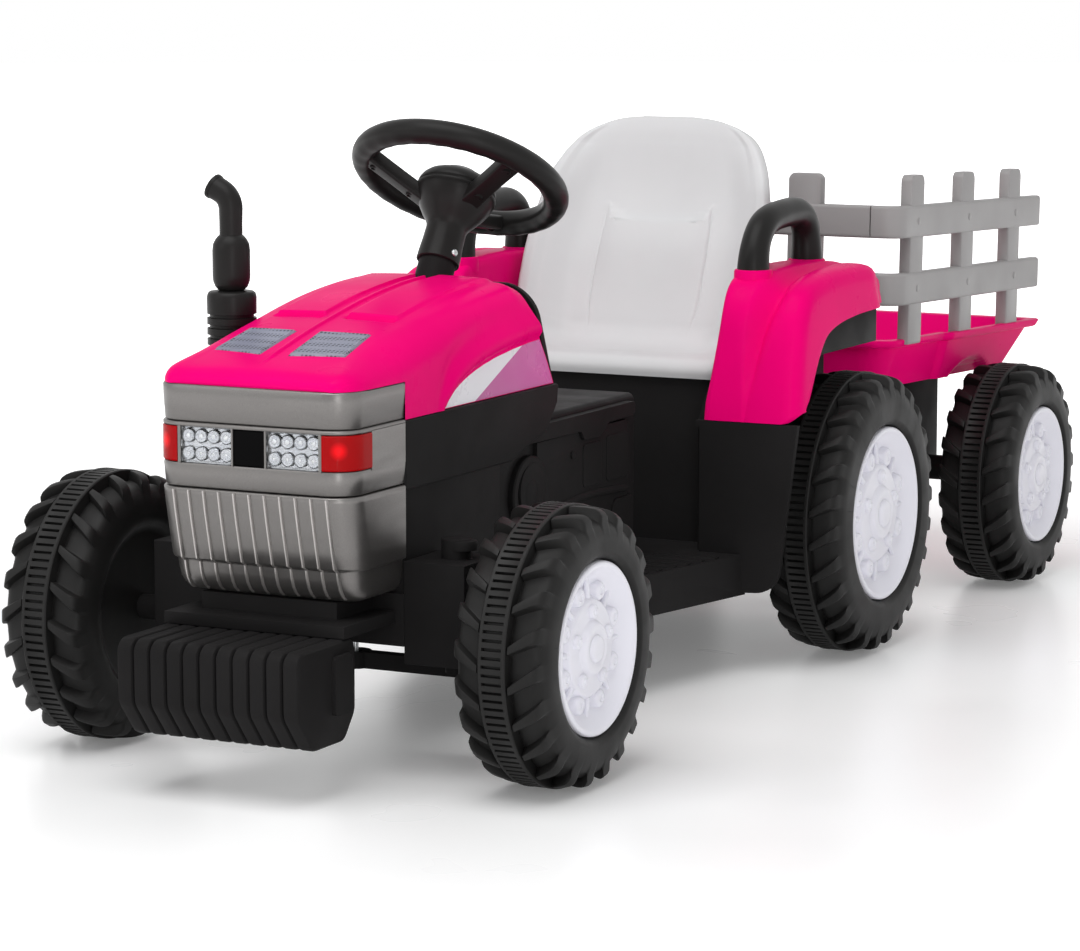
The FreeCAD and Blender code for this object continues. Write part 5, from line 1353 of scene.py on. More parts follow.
def steering_cap_shell():
    """The domed ring round the horn button."""
    shell = Shell()
    place = about_line(WHEEL_MIDDLE, COLUMN_UP)
    rows = [[place(rise, radius, angle) for angle in turns(48)] for rise, radius in CAP_PROFILE]
    shell.grid(rows, ring=True, loop=True)
    return shell


# Seat

SEAT_LINE = (
    (-12.0, 246.0), (-13.5, 254.0), (-8.0, 262.0), (6.0, 263.5), (28.0, 264.5), (44.0, 270.0),
    (53.0, 281.0), (58.0, 293.0), (70.0, 320.0), (82.0, 347.0), (93.0, 371.0), (101.0, 392.0),
    (108.0, 414.0), (114.0, 438.0), (116.6, 450.0), (118.4, 457.0), (119.4, 460.4), (119.9, 462.2),
    (120.1, 463.0),
)
SEAT_HALF = (
    (282.0, 110.0), (300.0, 116.5), (330.0, 118.0), (356.0, 116.5), (390.0, 111.0), (409.0, 106.0),
    (425.0, 99.0), (439.0, 90.0), (448.0, 80.0), (455.0, 67.0), (460.0, 52.0), (462.2, 38.0),
    (463.0, 26.0),
)
SEAT_STEP = 1.8
SEAM_SHARE = 0.452
SEAM_WIDE = 0.013
SEAM_DEPTH = 1.0
SEAM_TOP = (376.0, 386.0)
# How far the seat's bolsters, rim and padded middle stand out, how deep it is hollowed, and its thickness.
BOLSTER_RISE = 15.0
RIM_RISE = 2.4
PAD_RISE = 7.0
SEAT_HOLLOW = 5.0
SEAT_THICK = 11.0
# The seat's rolled edge: shares of its half-width and how far back; then shares across its back and its face.
SEAT_EDGE = ((0.975, 0.4), (0.992, 2.4), (1.0, 6.0), (0.996, 9.6), (0.978, 11.8), (0.955, 11.4))
BACK_STATIONS = (0.93, 0.88, 0.8, 0.7, 0.5, 0.25, 0.0)
SEAT_STATIONS = (
    0.0, 0.06, 0.12, 0.2, 0.28, 0.35, 0.40, 0.430, 0.440, 0.446, 0.452, 0.458, 0.464, 0.474, 0.52, 0.57,
    0.62, 0.68, 0.74, 0.79, 0.83, 0.865, 0.89, 0.915, 0.94, 0.965,
)


def seat_width(height, along):
    """Half-width of the seat at a height of its back, or along its pan."""
    pan = 106.0 + 5.0 * smooth_step(-12.0, 30.0, along)
    return pan + (curve_at(SEAT_HALF, height) - pan) * smooth_step(264.0, 286.0, height)


def seat_relief(u, height, share):
    """How far the seat's face stands out: hollow, bolsters, rolled rim, padded middle and its seams."""
    top = 1.0 - smooth_step(0.72, 0.95, share)
    out = BOLSTER_RISE * smooth_step(0.05, 0.30, share) * top * smooth_step(0.58, 0.90, u)
    out -= SEAT_HOLLOW * (1.0 - u * u) * smooth_step(0.1, 0.3, share) * top
    upright = smooth_step(272.0, 300.0, height) * (1.0 - smooth_step(444.0, 458.0, height))
    out += RIM_RISE * upright * smooth_step(0.86, 0.90, u)
    ledge = 372.0 + 16.0 * smooth_step(0.27, 0.47, u) ** 2
    padded = (1.0 - smooth_step(0.30, 0.50, u)) * (1.0 - smooth_step(ledge - 1.2, ledge + 1.2, height))
    out += PAD_RISE * padded * smooth_step(286.0, 360.0, height)
    seam = max(0.0, 1.0 - abs(u - SEAM_SHARE) / SEAM_WIDE)
    out -= SEAM_DEPTH * seam * upright * (1.0 - smooth_step(*SEAM_TOP, height))
    return out


def seat_row(spot, facing, share):
    """One ring of the seat: its face, rolled edge and back."""
    half = seat_width(spot.y, spot.x)
    side = [(half * u, seat_relief(u, spot.y, share)) for u in SEAT_STATIONS]
    edge = side[-1][1]
    side += [(half * u, edge - back) for u, back in SEAT_EDGE]
    side += [(half * u, seat_relief(u, 0.0, share) - SEAT_THICK) for u in BACK_STATIONS]
    ring = [(x, spot.x + facing.x * out, spot.y + facing.y * out) for x, out in side]
    return ring + [(-x, y, z) for x, y, z in ring[-2:0:-1]]


def seat_shell():
    """The grey bucket seat."""
    line = soft_line(SEAT_LINE, SEAT_STEP)
    last = len(line) - 1
    rows = [seat_row(spot, facing_of(line, index), index / last) for index, spot in enumerate(line)]
    top = rows[-1]
    middle = sum((Vector(point) for point in top), Vector()) / len(top)
    closing = []
    for share, rise in ((0.9, 0.25), (0.7, 0.4)):
        closing.append([Vector(point).lerp(Vector((point[0] * 0.9, middle.y, middle.z)), 1 - share)
                        + Vector((0.0, 0.3, rise)) for point in top])
    shell = Shell()
    shell.tube(rows + closing)
    return shell


# Rear fenders and their handles

# Each station of the left fender: its outer lobe's crest, the arch's edge beside it, then across it the
# inner edge, the start of the inner lobe's flank and the crease, and how far the inner lobe stands out.
FENDER_STATIONS = (
    ((-50.0, 216.6), (-30.0, 216.6), 110.5, 146.0, 149.0, 0.0),
    ((-49.2, 232.0), (-23.0, 231.0), 112.0, 146.2, 152.0, 0.8),
    ((-47.8, 250.0), (-12.0, 250.0), 116.0, 146.4, 155.2, 2.2),
    ((-45.8, 268.0), (-2.0, 266.0), 119.6, 146.8, 158.4, 4.2),
    ((-43.2, 284.0), (6.0, 276.0), 122.6, 147.4, 161.4, 6.6),
    ((-40.6, 296.0), (12.0, 282.0), 124.6, 148.2, 164.0, 8.8),
    ((-37.8, 305.0), (17.0, 285.6), 125.6, 149.2, 166.6, 10.4),
    ((-34.2, 313.0), (22.0, 288.0), 126.0, 150.4, 169.4, 11.4),
    ((-29.6, 320.0), (28.0, 290.0), 126.0, 151.6, 171.6, 11.6),
    ((-23.6, 325.6), (35.0, 291.8), 126.0, 152.6, 172.6, 11.0),
    ((-15.6, 330.0), (43.0, 293.4), 126.0, 153.6, 172.4, 9.8),
    ((-5.0, 333.4), (52.0, 294.8), 126.0, 154.6, 171.6, 8.4),
    ((9.0, 336.2), (62.0, 296.0), 126.0, 155.2, 170.6, 6.6),
    ((27.0, 338.6), (74.0, 297.0), 126.0, 155.8, 169.6, 5.0),
    ((48.0, 340.2), (88.0, 298.0), 126.0, 156.2, 168.6, 3.4),
    ((75.0, 340.8), (104.0, 298.6), 126.0, 156.6, 167.6, 2.4),
    ((105.0, 340.4), (122.0, 299.0), 126.0, 157.0, 166.6, 1.6),
    ((130.0, 338.2), (140.0, 299.2), 126.0, 156.0, 165.0, 1.0),
    ((150.0, 334.8), (155.0, 299.4), 126.0, 154.0, 162.0, 0.5),
    ((166.0, 330.4), (168.0, 299.4), 126.0, 152.0, 159.0, 0.2),
    ((178.0, 326.0), (178.0, 299.4), 126.0, 150.0, 157.0, 0.0),
)
# Across the inner lobe's flank, how much of its lift is left; past the crease, how much of its depth is left;
# and in from the outer face, how far the shoulder has dropped.
FLANK_SHARES = ((0.10, 0.86), (0.24, 0.68), (0.42, 0.46), (0.60, 0.25), (0.78, 0.08), (0.92, 0.0))
CREASE_SHARES = ((0.0, 0.84), (1.1, 0.56), (2.8, 0.32), (6.0, 0.12), (9.0, 0.02))
SHOULDER_DROPS = ((15.0, 0.2), (9.0, 1.4), (5.0, 3.6), (2.2, 7.0), (0.6, 11.4), (0.0, 16.0))
FENDER_OUTER = 197.6
FENDER_TAPER = 15.0
CREASE_LEAST, CREASE_MORE = 0.8, 5.0
INNER_WALL = 12.0
FOOT_RISE, FOOT_WIDE = 10.0, 14.0
FENDER_FLOOR = 268.0
FENDER_TAIL = 178.6


def dense_stations():
    """The fender's stations with three more drawn between each two."""
    columns = list(zip(*[(*crest, *lip, *across) for crest, lip, *across in FENDER_STATIONS]))
    count = len(FENDER_STATIONS)
    curves = [list(enumerate(column)) for column in columns]
    places = spread(0.0, count - 1.0, 4 * (count - 1) + 1)
    return [[curve_at(curve, along) for curve in curves] for along in places]


def fender_row(station, facing):
    """One section of the left fender from its inner wall over both lobes to the edge of the arch."""
    y, z, lip_y, lip_z, inner, valley, crease, lift = station
    rear = smooth_step(120.0, 178.0, y)
    outer = FENDER_OUTER - FENDER_TAPER * rear
    depth = (CREASE_LEAST + CREASE_MORE * smooth_step(222.0, 304.0, z)) * (1.0 - smooth_step(60.0, 150.0, y))
    wall = INNER_WALL + (max(z - FENDER_FLOOR, INNER_WALL) - INNER_WALL) * smooth_step(318.0, 333.0, z)
    section = [
        (inner - 0.8, -wall), (inner - 0.6, lift - 9.0), (inner, lift - 4.4), (inner + 1.2, lift - 1.8),
        (inner + 3.4, lift - 0.5), (inner + 7.0, lift), (valley - 7.0, lift - 0.1),
        (valley - 2.0, lift * 0.95 - 0.3),
    ]
    for share, part in FLANK_SHARES:
        section.append((valley + (crease - valley) * share, lift * part - depth * (1.0 - part) * 0.9))
    section += [(crease + across, -part * depth) for across, part in CREASE_SHARES]
    section += [(outer - across, -drop) for across, drop in SHOULDER_DROPS]
    corner = FOOT_RISE * (1.0 - smooth_step(216.0, 250.0, z)) ** 2
    row = []
    for x, out in section:
        raised = corner * max(0.0, (x - outer + FOOT_WIDE) / FOOT_WIDE) ** 2
        row.append(Vector((x, y + facing.x * out, z + facing.y * out + raised)))
    edge = Vector((outer, lip_y, lip_z + corner))
    last = row[-1]
    row += [last.lerp(edge, share) for share in (0.25, 0.5, 0.75, 0.93)]
    row += [edge + Vector(turn) for turn in ((-0.5, 0.0, 0.0), (-4.6, 0.3, 0.2), (-5.4, -1.6, 2.0))]
    return row


def fender_shell():
    """The pink mudguards: two lobes with a valley between, wrapped over the wheel and down its front."""
    stations = dense_stations()
    line = [Vector(station[:2]) for station in stations]
    rows = [fender_row(station, facing_of(line, index)) for index, station in enumerate(stations)]
    shell = Shell()
    turned = [point + Vector((0.0, 2.4, -0.3)) for point in rows[0]]
    shell.grid([turned] + rows)
    tail = rows[-1]
    middle = Vector((156.0, FENDER_TAIL, 300.0))
    shell.grid([tail] + [[point.lerp(middle, share) for point in tail] for share in (0.12, 0.6, 0.99)])
    return shell.with_mirror()


HANDLE_X = 141.0
HANDLE_LINE = (
    (-14.0, 333.0), (-13.6, 345.0), (-11.4, 357.0), (-6.0, 368.0), (2.6, 376.6), (14.0, 382.0),
    (30.0, 384.8), (50.0, 386.2), (70.0, 386.6), (82.0, 385.0), (92.0, 380.4), (99.0, 372.0),
    (102.4, 360.0), (103.2, 345.0), (103.4, 333.0),
)
HANDLE_LEGS = (-13.6, 103.3)
HANDLE_SIZE = 12.4
HANDLE_FOOT = 1.6
COLLAR_PROFILE = ((330.0, 16.6), (341.4, 16.4), (342.8, 15.8), (343.2, 14.8), (343.2, 11.0))


def handle_shell():
    """Grab handles on the fenders: a round bar bent down into two legs, a little thicker at the foot."""
    shell = Shell()
    path = [Vector((HANDLE_X, spot.x, spot.y)) for spot in soft_line(HANDLE_LINE, 3.0)]
    sizes = [HANDLE_SIZE + HANDLE_FOOT * (1.0 - smooth_step(336.0, 372.0, spot.z)) for spot in path]
    shell.pipe(path, sizes, 28)
    return shell.with_mirror()


def collar_shell():
    """The low rings of the fenders round the handles' legs."""
    shell = Shell()
    for leg in HANDLE_LEGS:
        shell.lathe(COLLAR_PROFILE, 36, about_line((HANDLE_X, leg, 0.0), (0.0, 0.0, 1.0)))
    return shell.with_mirror()


# Trailer

TRAILER_TILT = math.radians(2.1)
TRAILER_AXLE = (500.0, 106.0)


def tipped(point):
    """Leans a point of the trailer nose up about the trailer's axle, as the hitch holds it."""
    y = point[1] - TRAILER_AXLE[0]
    z = point[2] - TRAILER_AXLE[1]
    cosine, sine = math.cos(TRAILER_TILT), math.sin(TRAILER_TILT)
    return (point[0], TRAILER_AXLE[0] + y * cosine + z * sine, TRAILER_AXLE[1] - y * sine + z * cosine)


# Half-width, front and rear of the tray at its lip and at its foot, and their heights.
TRAY_LIP = (157.6, 271.4, 658.0)
TRAY_FOOT = (146.0, 277.0, 604.0)
TRAY_LOW, TRAY_HIGH = 200.0, 245.0
TRAY_TAIL = 11.2
TRAY_BACK = 9.0
TRAY_CORNER = 26.0
TRAY_THIN = 2.6
# Shares of the tray's height up its outer wall, then share and inset over its lip, then down its inner wall.
WALL_SHARES = (0.0, 0.02, *spread(0.06, 0.78, 13), 0.82)
LIP_TURNS = (
    (0.835, -0.8), (0.86, -2.0), (0.95, -2.0), (0.985, -1.4), (1.0, 0.4), (1.0, 5.6), (0.985, 7.0),
    (0.94, 7.4),
)
INNER_SHARES = (0.8, 0.5, 0.3, 0.2)
INNER_INSET, INNER_CORNER = 7.6, 22.0
FLOOR_RISE = 6.2
RIDGE_COUNT = 9
RIDGE_START, RIDGE_PITCH, RIDGE_HALF = 304.0, 33.0, 122.0
ARCH_PLACE = (503.0, 113.0)
ARCH_REACH = 103.0
ARCH_DEPTH = 7.0
ARCH_BEAD = 0.9


def tray_ring(share, inset, corner, tail):
    """One outline of the tray between its foot and its lip, drawn in by inset, its rear drawn out by tail."""
    half, front, rear = (foot + (lip - foot) * share for foot, lip in zip(TRAY_FOOT, TRAY_LIP))
    half, front, rear = half - inset, front + inset, rear - inset + tail
    back = TRAY_BACK
    left = arc((half - corner, front + corner), corner, 270.0, 360.0, 9)
    left += [(half, y) for y in spread(front + corner + 4.0, rear - back - 4.0, 110)]
    left += arc((half - back, rear - back), back, 0.0, 90.0, 9)
    behind = [(x, rear) for x in spread(half - back - 4.0, -half + back + 4.0, 16)]
    right = [(-x, y) for x, y in reversed(left)]
    return left + behind + right + [(x, front) for x in spread(-half + corner + 4.0, half - corner - 4.0, 16)]


def tray_level(share, inset, corner=TRAY_CORNER, tail=0.0):
    """A ring of the tray's skin at a share of its height."""
    height = TRAY_LOW + (TRAY_HIGH - TRAY_LOW) * share
    return [(x, y, height) for x, y in tray_ring(share, inset, corner, tail)]


def narrowed(point):
    """The tray is narrower in front of its wheels, with a short step between."""
    x, y, z = point
    return (x * (1.0 - 0.036 * (1.0 - smooth_step(411.0, 420.0, y))), y, z)


def tray_dent(point):
    """Relief on the tray's outer walls: a hollow with a raised edge over each wheel."""
    x, y, z = point
    if abs(x) < 138.0:
        return point
    side = 1.0 if x > 0 else -1.0
    reach = math.hypot(y - ARCH_PLACE[0], z - ARCH_PLACE[1])
    hollow = 1.0 - smooth_step(ARCH_REACH - 4.0, ARCH_REACH, reach)
    bead = math.exp(-((reach - ARCH_REACH - 2.4) / 2.0) ** 2)
    return (x + side * (ARCH_BEAD * bead - ARCH_DEPTH * hollow), y, z)


def tray_shell():
    """The pink tray with a rolled lip, sloping tail and a ribbed floor."""
    rings = [[tray_dent(point) for point in tray_level(share, TRAY_THIN)] for share in WALL_SHARES]
    for share, inset in LIP_TURNS:
        rings.append(tray_level(share, inset, tail=TRAY_TAIL if inset < 5.0 else 0.0))
    rings += [tray_level(share, INNER_INSET, INNER_CORNER) for share in INNER_SHARES]
    rings.append([(x, y, TRAY_LOW + FLOOR_RISE) for x, y in tray_ring(0.14, 11.0, 19.0, 0.0)])
    shell = Shell()
    shell.tube([[tipped(narrowed(point)) for point in ring] for ring in rings])
    low, high = TRAY_LOW + 5.4, TRAY_LOW + 8.0
    for index in range(RIDGE_COUNT):
        y = RIDGE_START + RIDGE_PITCH * index
        ridge = rounded([(y - 4.0, low), (y + 4.0, low), (y + 2.6, high), (y - 2.6, high)], 0.8)
        shell.prism(ridge, -RIDGE_HALF, RIDGE_HALF, lambda a, b, distance: tipped((distance, a, b)))
    return shell


# Lower and upper edge of each rail, where the fences stand, and where the side and front fences meet.
FENCE_RAILS = ((277.0, 307.0), (339.0, 369.0))
FENCE_X = 152.5
FENCE_Y = 278.5
FENCE_CORNER = 14.5
FENCE_REAR = 658.0
FENCE_SPLIT = (128.4, 129.6)
RAIL_THICK = 11.4
SIDE_POSTS = (322.0, 456.0, 587.0)
FRONT_POSTS = (-62.5, 62.5)
POST_WIDE = 33.0
POST_THICK = 11.6
POST_LOW, POST_HIGH = 240.0, 397.0
POST_CUT = 4.0
POST_INWARD = 1.4
POST_EDGES = ((0.0, 1.6), (0.5, 0.5), (1.6, 0.0))
RIVET_PROFILE = ((0.0, 3.6), (0.8, 3.4), (1.2, 2.6), (1.3, 0.0))


def rails(shell, path):
    """Both rails of a fence: rounded bars of upright section along a path seen from above."""
    half = RAIL_THICK / 2
    for low, high in FENCE_RAILS:
        section = rounded([(-half, low), (half, low), (half, high), (-half, high)], 3.4, 5)
        rows = []
        for index, spot in enumerate(path):
            across = -facing_of(path, index)
            rows.append([tipped((*(spot + across * a), b)) for a, b in section])
        shell.tube(rows)


def post(shell, spot, along):
    """A fence post with its top corners cut off; along is the direction of the fence."""
    half = POST_WIDE / 2
    outline = rounded([
        (-half, POST_LOW), (half, POST_LOW), (half, POST_HIGH - POST_CUT), (half - POST_CUT, POST_HIGH),
        (-half + POST_CUT, POST_HIGH), (-half, POST_HIGH - POST_CUT),
    ], 2.0, 4)
    across = Vector((along.y, -along.x))
    middle = (POST_LOW + POST_HIGH) / 2
    rows = []
    for depth, inset in plate_faces(POST_THICK, POST_EDGES):
        row = []
        for a, b in outline:
            a = a - inset if a > 0 else a + inset
            b = b - inset if b > middle else b + inset
            row.append(tipped((*(spot + along * a + across * depth), b)))
        rows.append(row)
    shell.tube(rows)


def side_fence_shell():
    """The left and right fences: two rails that turn the front corner, on three riveted posts."""
    shell = Shell()
    turn = (FENCE_X - FENCE_CORNER, FENCE_Y + FENCE_CORNER)
    path = [(FENCE_SPLIT[1], FENCE_Y), (turn[0], FENCE_Y)]
    path += arc(turn, FENCE_CORNER, 270.0, 360.0, 9)[1:]
    path += [(FENCE_X, y) for y in spread(turn[1] + 8.0, FENCE_REAR, 12)]
    rails(shell, [Vector(spot) for spot in path])
    for y in SIDE_POSTS:
        post(shell, Vector((FENCE_X - POST_INWARD, y)), Vector((0.0, 1.0)))
        for low, high in FENCE_RAILS:
            spot = tipped((FENCE_X + 5.2, y, (low + high) / 2))
            shell.lathe(RIVET_PROFILE, 18, about_line(spot, (1.0, 0.0, 0.0)))
    return shell.with_mirror()


def front_fence_shell():
    """The front fence between the two corners."""
    shell = Shell()
    rails(shell, [Vector((x, FENCE_Y)) for x in spread(-FENCE_SPLIT[0], FENCE_SPLIT[0], 9)])
    for x in FRONT_POSTS:
        post(shell, Vector((x, FENCE_Y + POST_INWARD)), Vector((1.0, 0.0)))
    return shell


# Body details

def beside_seat(point):
    """Draws the front corners of the wheel arches out and back, under the fenders."""
    if abs(point.x) > 100.0 and -54.0 < point.y < -30.0 and point.z > 255.0:
        return Vector((math.copysign(max(abs(point.x), 119.0), point.x), point.y + 9.0, point.z))
    return point


def board_half(y):
    """Half-width of the footboards at a place along them."""
    if y < -180.0:
        return 95.0 + 25.0 * (y + 330.0) / 150.0
    return 120.0 + 29.0 * (y + 180.0) / 130.0


TREAD_COUNT = 13
TREAD_START, TREAD_PITCH = -306.0, 19.0
TREAD_LOW, TREAD_HIGH = 102.6, 104.2
TREAD_INNER = 80.0


def tread_shell():
    """Ribbed treads on the footboards."""
    shell = Shell()
    for index in range(TREAD_COUNT):
        y = TREAD_START + index * TREAD_PITCH
        outline = rounded([
            (y - 4.6, TREAD_LOW), (y + 4.6, TREAD_LOW), (y + 3.4, TREAD_HIGH), (y - 3.4, TREAD_HIGH),
        ], 0.6)
        shell.prism(outline, TREAD_INNER, board_half(y) - 5.0, lambda a, b, distance: (distance, a, b))
    return shell.with_mirror()


ENGINE_WALL = 69.4
# Outline of each plate on the engine block and how far it stands out.
ENGINE_PLATES = (
    (((-350.0, 225.4), (-214.0, 224.0), (-210.0, 216.2), (-179.0, 216.0), (-164.0, 225.6), (-112.0, 226.6),
      (-112.0, 238.0), (-350.0, 238.0)), 8.0),
    (((-240.0, 118.0), (-112.0, 118.0), (-112.0, 221.0), (-232.0, 221.0), (-240.0, 212.0)), 3.2),
    (((-206.0, 176.0), (-172.0, 176.0), (-172.0, 212.0), (-206.0, 212.0)), 5.4),
    (((-162.0, 176.0), (-122.0, 176.0), (-122.0, 214.0), (-162.0, 214.0)), 5.4),
    (((-153.0, 120.0), (-112.0, 120.0), (-112.0, 159.0), (-147.0, 159.0), (-153.0, 152.0)), 6.4),
    (((-345.0, 112.0), (-250.0, 112.0), (-244.0, 130.0), (-244.0, 150.0), (-345.0, 150.0)), 3.4),
)
PULLEY_PLACE = (-302.0, 184.0)
PULLEY_PROFILE = (
    (-2.0, 31.0), (5.0, 31.0), (6.2, 29.6), (6.2, 24.0), (4.6, 22.8), (3.4, 14.0), (6.6, 12.0), (7.6, 9.0),
    (7.6, 0.0),
)
BOLT_PLACES = ((-226.0, 206.0), (-226.0, 130.0), (-168.0, 130.0), (-336.0, 120.0), (-258.0, 120.0))
BOLT_PROFILE = ((-1.0, 3.4), (5.8, 3.2), (6.6, 2.4), (6.6, 0.0))
HOSE_SIZE = 3.4


def engine_shell():
    """Relief on the engine block: stepped plates, a pulley ring, bolt heads and a hose on both sides."""
    shell = Shell()
    for outline, out in ENGINE_PLATES:
        plate = rounded(outline, 4.0)
        shell.prism(plate, ENGINE_WALL - 2.0, ENGINE_WALL + out, lambda a, b, distance: (distance, a, b))
    shell.lathe(PULLEY_PROFILE, 48, about_x((ENGINE_WALL, *PULLEY_PLACE)))
    for place in BOLT_PLACES:
        shell.lathe(BOLT_PROFILE, 12, about_x((ENGINE_WALL, *place)))
    hose = [(y, 167.0 + 2.0 * math.sin((y + 240.0) / 30.0)) for y in spread(-250.0, -124.0, 15)]
    shell.pipe([Vector((ENGINE_WALL + 4.0, y, z)) for y, z in hose], HOSE_SIZE, 14)
    return shell.with_mirror()


KINGPIN = (118.0, -500.0, 0.0)
KINGPIN_PROFILE = (
    (172.0, 11.6), (177.0, 11.6), (178.8, 10.6), (179.4, 8.6), (179.4, 4.0), (178.0, 3.4), (178.0, 0.0),
)


def kingpin_cap_shell():
    """Round caps over the kingpins on the front axle boxes."""
    shell = Shell()
    shell.lathe(KINGPIN_PROFILE, 32, about_line(KINGPIN, (0.0, 0.0, 1.0)))
    return shell.with_mirror()


# Operators

class TRACTOR_OT_wheels(bpy.types.Operator):
    """Make the six wheels: tyres with lugs, ribbed bands and white dishes"""
    bl_idname = "tractor.wheels"
    bl_label = "Make wheels"

    def execute(self, context):
        sizes = context.scene.tractor_sizes
        height, depth = sizes.lug_height * METRE, sizes.band_depth * METRE
        for axle, x, y, radius, lugs in AXLES:
            ribs = round(sizes.band_ribs * radius / FRONT_RADIUS)
            for word, side in (("left_", 1), ("right_", -1)):
                name = word + axle
                body = name + "_wheel"
                hub = (side * x, y, radius)
                tyre = on_hub(tyre_shell(radius, lugs, height), hub, side)
                make_piece(name + "_tread", tyre, "black_tyre", (name + "_tyre",), body, smooth=42.0)
                band = on_hub(band_shell(radius, ribs, depth), hub, side)
                make_piece(name + "_traction", band, "rubber_band", (name + "_band",), body)
                dish = on_hub(rim_shell(radius, sizes.rim_bosses), hub, side)
                make_piece(name + "_dish", dish, "white_rim", (name + "_rim",), body, smooth=50.0)
        return {"FINISHED"}


class TRACTOR_OT_nose(bpy.types.Operator):
    """Make the silver nose tiers, the lamps and the grille"""
    bl_idname = "tractor.nose"
    bl_label = "Make nose"

    def execute(self, context):
        sizes = context.scene.tractor_sizes
        tiers = (
            ("plain_tier", swept_band(PLAIN_SECTION), "bonnet_band"),
            ("lamp_tier", lamp_band_shell(), "lamp_band"),
            ("grille_tier", swept_band(GRILLE_SECTION), "radiator_grille"),
        )
        for name, shell, node in tiers:
            make_piece(name, shell, "silver_paint", (node,), smooth=50.0)
        fins = fin_shell(sizes.grille_fins)
        # The fins' lighter silver is a painted highlight.
        make_piece("grille_fins", fins, "silver_fin", smooth=30.0)
        tray, bulbs, cover = headlamp_shells(sizes.lamp_columns)
        make_piece("lamp_reflectors", tray, "reflector")
        make_piece("lamp_bulbs", bulbs, "lamp_bulb")
        make_piece("lamp_covers", cover, "clear_lens", ("headlamps",))
        make_piece("corner_lenses", corner_lamp_shell(), "red_lens", ("corner_lamps",))
        panel = Shell()
        panel.block((-LAMP_CENTRE, NOSE_FRONT + 0.9, 240.8), (LAMP_CENTRE, NOSE_FRONT + 8.0, 267.4))
        make_piece("lamp_centre", panel, "black_screen", edge=RELIEF_EDGE)
        return {"FINISHED"}


class TRACTOR_OT_bonnet(bpy.types.Operator):
    """Make the pink bonnet with its vents and side stickers"""
    bl_idname = "tractor.bonnet"
    bl_label = "Make bonnet"

    def execute(self, context):
        make_piece("bonnet_skin", bonnet_shell(), "pink_gloss", ("bonnet",), smooth=45.0)
        make_piece("mesh_vents", vent_shell(), "grey_mesh", ("bonnet_vents",))
        make_piece("side_stickers", sticker_shell(), "side_sticker")
        return {"FINISHED"}


class TRACTOR_OT_body(bpy.types.Operator):
    """Round the black body mouldings and add their relief"""
    bl_idname = "tractor.body"
    bl_label = "Make body"

    def execute(self, context):
        edge = context.scene.tractor_sizes.edge
        round_over("body_tub", "black_body", edge, beside_seat)
        for node in ("nose_frame", "engine_cover", "dashboard", "axle_boxes", "pedal"):
            round_over(node, "black_body", edge)
        for node in ("horn_button", "power_button"):
            round_over(node, "grey_button", edge * 0.5)
        round_over("gear_lever", "black_satin", edge * 0.6)
        make_piece("foot_treads", tread_shell(), "black_body")
        make_piece("engine_relief", engine_shell(), "black_body", edge=RELIEF_EDGE)
        make_piece("kingpin_caps", kingpin_cap_shell(), "black_body")
        return {"FINISHED"}


class TRACTOR_OT_front(bpy.types.Operator):
    """Make the exhaust stack and the front weights"""
    bl_idname = "tractor.front"
    bl_label = "Make exhaust and weights"

    def execute(self, context):
        make_piece("exhaust_pipe", exhaust_shell(), "black_satin", ("exhaust_stack",))
        make_piece("weight_plates", weights_shell(), "black_body", ("front_weights",))
        return {"FINISHED"}


class TRACTOR_OT_steering(bpy.types.Operator):
    """Make the steering wheel"""
    bl_idname = "tractor.steering"
    bl_label = "Make steering wheel"

    def execute(self, context):
        make_piece("wheel_grip", steering_wheel_shell(), "black_satin", ("steering_wheel",), "steering")
        make_piece("steering_dome", steering_cap_shell(), "black_satin", ("steering_cap",), "steering")
        make_piece("steering_screw", steering_screw_shell(), "zinc_steel", body="steering")
        return {"FINISHED"}


class TRACTOR_OT_seat(bpy.types.Operator):
    """Make the bucket seat"""
    bl_idname = "tractor.seat"
    bl_label = "Make seat"

    def execute(self, context):
        make_piece("bucket_seat", seat_shell(), "grey_seat", ("seat",), smooth=55.0)
        return {"FINISHED"}


class TRACTOR_OT_fenders(bpy.types.Operator):
    """Make the rear fenders and grab handles"""
    bl_idname = "tractor.fenders"
    bl_label = "Make fenders"

    def execute(self, context):
        make_piece("mudguards", fender_shell(), "pink_gloss", ("fenders",), smooth=75.0)
        make_piece("handle_collars", collar_shell(), "pink_gloss")
        make_piece("grab_bars", handle_shell(), "black_satin", ("grab_handles",))
        return {"FINISHED"}


class TRACTOR_OT_trailer(bpy.types.Operator):
    """Make the trailer's tray, fences and frame"""
    bl_idname = "tractor.trailer"
    bl_label = "Make trailer"

    def execute(self, context):
        make_piece("tray_skin", tray_shell(), "pink_gloss", ("trailer_tray",), "trailer", smooth=45.0)
        make_piece("side_rails", side_fence_shell(), "grey_fence", ("side_fences",), "trailer")
        make_piece("front_rails", front_fence_shell(), "grey_fence", ("front_fence",), "trailer")
        round_over("trailer_frame", "black_body", context.scene.tractor_sizes.edge)
        return {"FINISHED"}


class TRACTOR_OT_workings(bpy.types.Operator):
    """Give the working parts that stay as they are their finishes"""
    bl_idname = "tractor.workings"
    bl_label = "Finish workings"

    def execute(self, context):
        kept = {
            "battery_case": ("battery", "control_module"),
            "zinc_steel": ("drive_motors", "rear_axle", "trailer_axle", "hitch_pin", "steering_shaft"),
            "black_body": ("tie_rod", "left_knuckle", "right_knuckle", "gearbox_cases"),
            "white_gear": ("left_drive_gear", "right_drive_gear"),
            "brass_pinion": ("left_motor_pinion", "right_motor_pinion"),
        }
        for finish, nodes in kept.items():
            for node in nodes:
                dress_node(node, finish)
        return {"FINISHED"}


